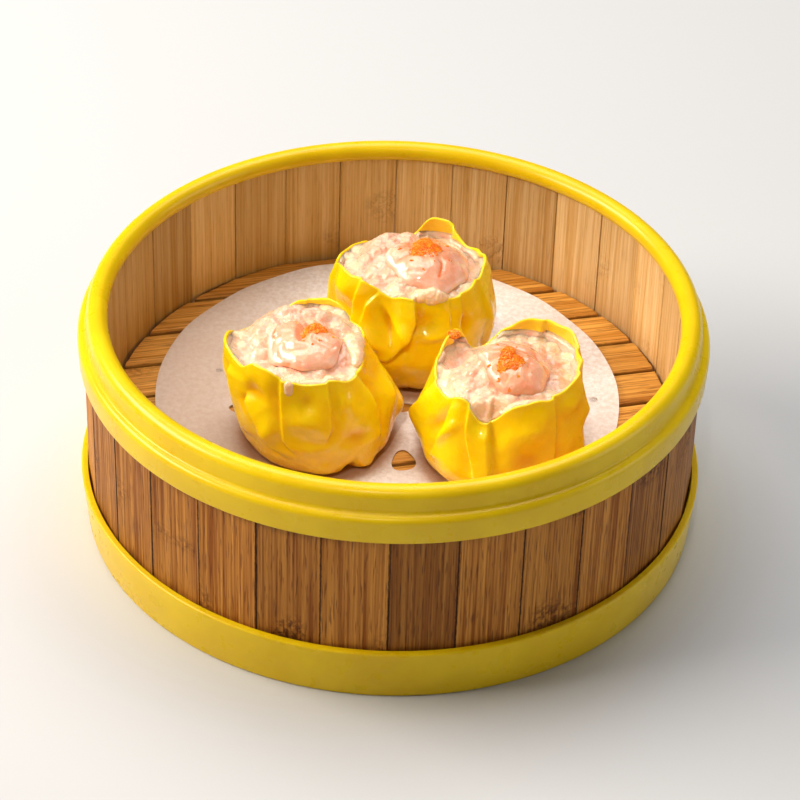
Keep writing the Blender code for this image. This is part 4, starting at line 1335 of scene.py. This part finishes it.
def make_roe(material):
    """The eggs on all three dumplings, with a few strays beside each heap."""
    shells = []
    for side, dumpling in DUMPLINGS.items():
        dx, dy, half_width, half_depth = dumpling["roe"]
        shells.append(roe_patch(side, dx, dy, half_width * ROE_GROUND, half_depth * ROE_GROUND, ROE_HEAP))
        for turn, reach in ROE_STRAYS:
            stray_x = dx + reach * half_width * math.cos(turn)
            stray_y = dy + reach * half_depth * math.sin(turn)
            shells.append(roe_patch(side, stray_x, stray_y, STRAY_RADIUS, STRAY_RADIUS, STRAY_RISE))
    side, degrees, level, radius = TONGUE_EGGS
    tip = wall_point(side, math.radians(degrees), level, WRAPPER_THICKNESS / 2)
    vertices, faces, _ = droplet(tip, (radius, radius, radius * 0.5))
    shells.append((vertices, faces, {}))
    roe = mesh_piece("roe_eggs", shells, material)
    grow(roe, roe_tree(), {"Size": ROE_SIZE * MM, "Seed": 3, "Material": material})
    return roe


# ---------------------------------------------------------------- paper

PAPER_THICKNESS = 0.22
PAPER_GAP = 0.05
PAPER_SPACING = 1.6
PAPER_COLUMNS = 240
HOLE_COLUMNS = 40
# The edge curls up from this share of the radius outwards, most on the side at this angle.
PAPER_CURL_START = 0.72
PAPER_EDGE_LIFT = 0.35
PAPER_LIFTED_SIDE = 125
# Steam holes: centre x and y, half width, half depth, how three-cornered, turn in degrees.
HOLES = (
    (3.3, -20.6, 2.9, 4.1, 0.10, 100),
    (2.6, 1.2, 3.6, 1.9, 0.12, 20),
    (-37.4, -1.4, 2.8, 2.4, 0.10, 60),
)


def closed_loop(centre, half_width, half_depth, corner, turn, count):
    """An oval outline drawn out at three corners."""
    angle = column_angles(count)
    reach = 1.0 + corner * np.cos(3.0 * (angle - math.radians(turn)))
    return np.stack([centre[0] + half_width * reach * np.cos(angle),
                     centre[1] + half_depth * reach * np.sin(angle)], -1)


def inside(points, hole):
    """Which points lie within a steam hole."""
    x, y, half_width, half_depth, corner, turn = hole
    across, down = (points[:, 0] - x) / half_width, (points[:, 1] - y) / half_depth
    reach = 1.0 + corner * np.cos(3.0 * (np.arctan2(down, across) - math.radians(turn)))
    return np.hypot(across, down) < reach


def make_paper(material):
    """A round sheet with steam holes, laid on the slats and a little wavy towards its edge."""
    low, high = box_mm("paper_liner")
    centre, radius = (low + high) / 2, (high[0] - low[0]) / 2
    top = low[2] + PAPER_THICKNESS + PAPER_GAP
    loops = [closed_loop(centre, radius, radius, 0.0, 0, PAPER_COLUMNS)]
    loops += [closed_loop(hole[:2], *hole[2:], HOLE_COLUMNS) for hole in HOLES]
    steps = np.arange(-radius, radius, PAPER_SPACING)
    grid = np.array([(x + (row % 2) * PAPER_SPACING / 2, y) for row, y in enumerate(steps) for x in steps])
    grid = grid[np.hypot(*grid.T) < radius - PAPER_SPACING * 0.7] + centre[:2]
    for hole in HOLES:
        wider = (*hole[:2], hole[2] + 0.6, hole[3] + 0.6, *hole[4:])
        grid = grid[~inside(grid, wider)]
    flat = np.vstack([*loops, grid])
    edges = []
    start = 0
    for loop in loops:
        edges += [(start + i, start + (i + 1) % len(loop)) for i in range(len(loop))]
        start += len(loop)
    points, _, faces, *_ = delaunay_2d_cdt([Vector(p) for p in flat.tolist()], edges, [], 1, 0.0001)
    flat = np.array([tuple(p) for p in points])
    middles = np.array([flat[list(face)].mean(0) for face in faces])
    kept = np.ones(len(faces), bool)
    for hole in HOLES:
        kept &= ~inside(middles, hole)
    offset = flat - centre[:2]
    angle, reach = np.arctan2(offset[:, 1], offset[:, 0]), np.hypot(*offset.T) / radius
    rise = smooth((reach - PAPER_CURL_START) / (1.0 - PAPER_CURL_START))
    wave = 0.35 + 0.22 * np.sin(7 * angle + 0.6) + 0.14 * np.sin(17 * angle)
    lifted = PAPER_EDGE_LIFT * np.exp(-turn_between(angle, PAPER_LIFTED_SIDE) ** 2)
    height = top + rise * wave + lifted * rise
    mesh = bpy.data.meshes.new("paper_sheet")
    mesh.from_pydata((np.column_stack([flat, height]) * MM).tolist(), [],
                     [face for face, keep in zip(faces, kept) if keep])
    soaked = np.zeros(len(flat))
    for side, dumpling in DUMPLINGS.items():
        foot = foot_centre(side)
        gap = np.hypot(flat[:, 0] - foot[0], flat[:, 1] - foot[1]) - dumpling["foot_radius"]
        soaked = np.maximum(soaked, 0.75 * np.exp(-(np.maximum(gap, 0.0) / 2.2) ** 2))
    add_mask(mesh, "soaked", soaked)
    # Darker towards the left: partly wetter paper, partly painted shadow of the left wall.
    add_mask(mesh, "damp_and_wall_shadow", 0.6 * smooth((-8.0 - flat[:, 0]) / 45.0))
    mesh.materials.append(material)
    bm = bmesh.new()
    bm.from_mesh(mesh)
    bmesh.ops.delete(bm, geom=[v for v in bm.verts if not v.link_faces], context="VERTS")
    bmesh.ops.recalc_face_normals(bm, faces=bm.faces)
    if sum(face.normal.z for face in bm.faces) < 0:
        bmesh.ops.reverse_faces(bm, faces=bm.faces)
    bm.to_mesh(mesh)
    bm.free()
    sheet = link_object("paper_sheet", mesh)
    solid = sheet.modifiers.new("Thickness", "SOLIDIFY")
    solid.thickness = PAPER_THICKNESS * MM
    solid.offset = -1.0
    bake_modifiers(sheet)
    sheet.data.shade_smooth()
    sheet.data.set_sharp_from_angle(angle=SHARP_ANGLE)
    return sheet, top


# Drops of water on the paper: x, y and radius.
DROPS = (
    (33.0, 36.5, 1.0), (37.0, 30.0, 0.8), (50.6, 6.5, 1.3), (50.5, -14.0, 1.2), (43.0, 18.0, 0.7),
    (30.0, 28.0, 0.6), (47.5, -1.5, 0.6), (-30.0, 26.0, 0.7), (-44.0, 14.0, 0.8), (-20.0, 38.0, 0.6),
)


def make_drops(paper_top, material):
    """Flat beads of condensed steam that sit on the paper."""
    shells = []
    for x, y, radius in DROPS:
        middle = (x, y, paper_top + 0.12 * radius)
        vertices, faces, _ = droplet(middle, (radius, radius, 0.3 * radius), rows_count=12, columns=20)
        shells.append((vertices, faces, {}))
    return mesh_piece("water_drops", shells, material)


# ---------------------------------------------------------------- stage

CAMERA_TARGET = (2.0, 1.9, 28.4)
CAMERA_DISTANCE = 748.5
CAMERA_ELEVATION = math.radians(36.88)
CAMERA_ROLL = math.radians(1.88)
CAMERA_LENS = 135.0
FLOOR_HALF = 3.0
LIGHTS_AIM_HEIGHT = 0.03
SPOT_BLEND = 0.8
WORLD_STRENGTH = 0.04


def make_camera():
    """The camera looks down at the basket from the front, slightly rolled."""
    target = Vector(CAMERA_TARGET) * MM
    back = Vector((0.0, -math.cos(CAMERA_ELEVATION), math.sin(CAMERA_ELEVATION)))
    right = Vector((1.0, 0.0, 0.0))
    up = back.cross(right)
    turned_right = right * math.cos(CAMERA_ROLL) + up * math.sin(CAMERA_ROLL)
    turned_up = up * math.cos(CAMERA_ROLL) - right * math.sin(CAMERA_ROLL)
    camera = link_object("camera", bpy.data.cameras.new("camera"))
    camera.data.lens = CAMERA_LENS
    camera.data.clip_start = 0.01
    axes = Matrix((turned_right, turned_up, back)).transposed().to_4x4()
    camera.matrix_world = Matrix.Translation(target + back * CAMERA_DISTANCE * MM) @ axes
    bpy.context.scene.camera = camera


def make_light(name, azimuth, elevation, distance, width, height, power, colour):
    """A soft box that faces the basket from an azimuth and an elevation, in degrees."""
    light = bpy.data.lights.new(name, "AREA")
    light.shape = "RECTANGLE"
    light.size, light.size_y = width, height
    light.energy = power
    light.color = linear_colour(colour)[:3]
    aim(link_object(name, light), azimuth, elevation, distance)


def aim(lamp, azimuth, elevation, distance):
    """Moves a lamp out from the basket's middle and turns it back to face it."""
    turn, rise = math.radians(azimuth), math.radians(elevation)
    direction = Vector((math.cos(rise) * math.cos(turn), math.cos(rise) * math.sin(turn), math.sin(rise)))
    lamp.location = Vector((0.0, 0.0, LIGHTS_AIM_HEIGHT)) + direction * distance
    lamp.rotation_euler = direction.to_track_quat("Z", "Y").to_euler()


def make_spot(name, azimuth, elevation, distance, cone, radius, power, colour):
    """A round, soft-edged beam aimed into the basket, with its cone in degrees."""
    light = bpy.data.lights.new(name, "SPOT")
    light.spot_size = math.radians(cone)
    light.spot_blend = SPOT_BLEND
    light.shadow_soft_size = radius
    light.energy = power
    light.color = linear_colour(colour)[:3]
    aim(link_object(name, light), azimuth, elevation, distance)


def make_stage():
    """The floor, three soft boxes, a narrow beam on the food and a faint white surrounding."""
    floor_mesh = bpy.data.meshes.new("floor")
    corners = [(-FLOOR_HALF, -FLOOR_HALF, 0), (FLOOR_HALF, -FLOOR_HALF, 0),
               (FLOOR_HALF, FLOOR_HALF, 0), (-FLOOR_HALF, FLOOR_HALF, 0)]
    floor_mesh.from_pydata(corners, [], [(0, 1, 2, 3)])
    floor_mesh.materials.append(backdrop_paper())
    link_object("floor", floor_mesh)
    make_light("key_softbox", 178, 36, 1.0, 0.75, 0.30, 12.8, "FFF6EA")
    make_light("top_softbox", 95, 70, 1.1, 1.0, 0.7, 10.5, "FFFFFF")
    make_light("right_fill", -8, 14, 1.2, 0.7, 0.5, 2.6, "FFFFFF")
    make_spot("food_light", -98, 56, 1.1, 7.5, 0.05, 18.0, "FFF4E2")
    world = bpy.data.worlds.new("studio")
    world.use_nodes = True
    world.node_tree.nodes["Background"].inputs[0].default_value = linear_colour("FFFFFF")
    world.node_tree.nodes["Background"].inputs[1].default_value = WORLD_STRENGTH
    bpy.context.scene.world = world
    bpy.context.scene.view_settings.view_transform = "Standard"


# ---------------------------------------------------------------- the whole object

def place(piece, slot, *nodes):
    """Says which body a piece rides on and hides the nodes it stands for. Its slot, for the finish it takes,
    is not used.
    """
    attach(piece, BODY)
    if nodes:
        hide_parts(*nodes)


plastic = polypropylene_yellow()
place(turned_ring("rim_band_moulding", rim_band_outline(), plastic), "yellow_plastic", "rim_band")
place(turned_ring("base_ring_moulding", base_ring_outline(), plastic), "yellow_plastic", "base_ring")

stave_bamboo = bamboo("split_bamboo", ("D8943E", "945214"), ("F6D29A", "DAAA62"), "5A2A0C", 2, 0.0, 0.85)
slat_bamboo = bamboo("planed_bamboo", ("FCBC5A", "C67E26"), ("FCBC5A", "C67E26"), "5E3110", 0, SLAT_TURN, 0.5)
place(make_staves(stave_bamboo), "bamboo", *[f"stave_{i + 1:02d}" for i in range(STAVE_COUNT)])
place(make_slats(slat_bamboo), "bamboo", *[f"slat_{i + 1:02d}" for i in range(SLAT_COUNT)])

sheet, paper_top = make_paper(greaseproof_paper())
place(sheet, "paper", "paper_liner")
place(make_drops(paper_top, water()), "paper")

dough = steamed_egg_dough()
mince = minced_prawn()
prawn_meat = cooked_prawn()
for side in DUMPLINGS:
    place(make_wrapper(side, dough), "egg_dough", f"{side}_wrapper")
    place(make_filling(side, mince), "prawn_mince", f"{side}_filling")
    place(make_paste(side, mince), "prawn_mince")
    place(make_prawn(side, prawn_meat), "cooked_prawn", f"{side}_prawn")
place(make_roe(flying_fish_roe()), "roe", *[f"{side}_roe" for side in DUMPLINGS])

make_camera()
make_stage()
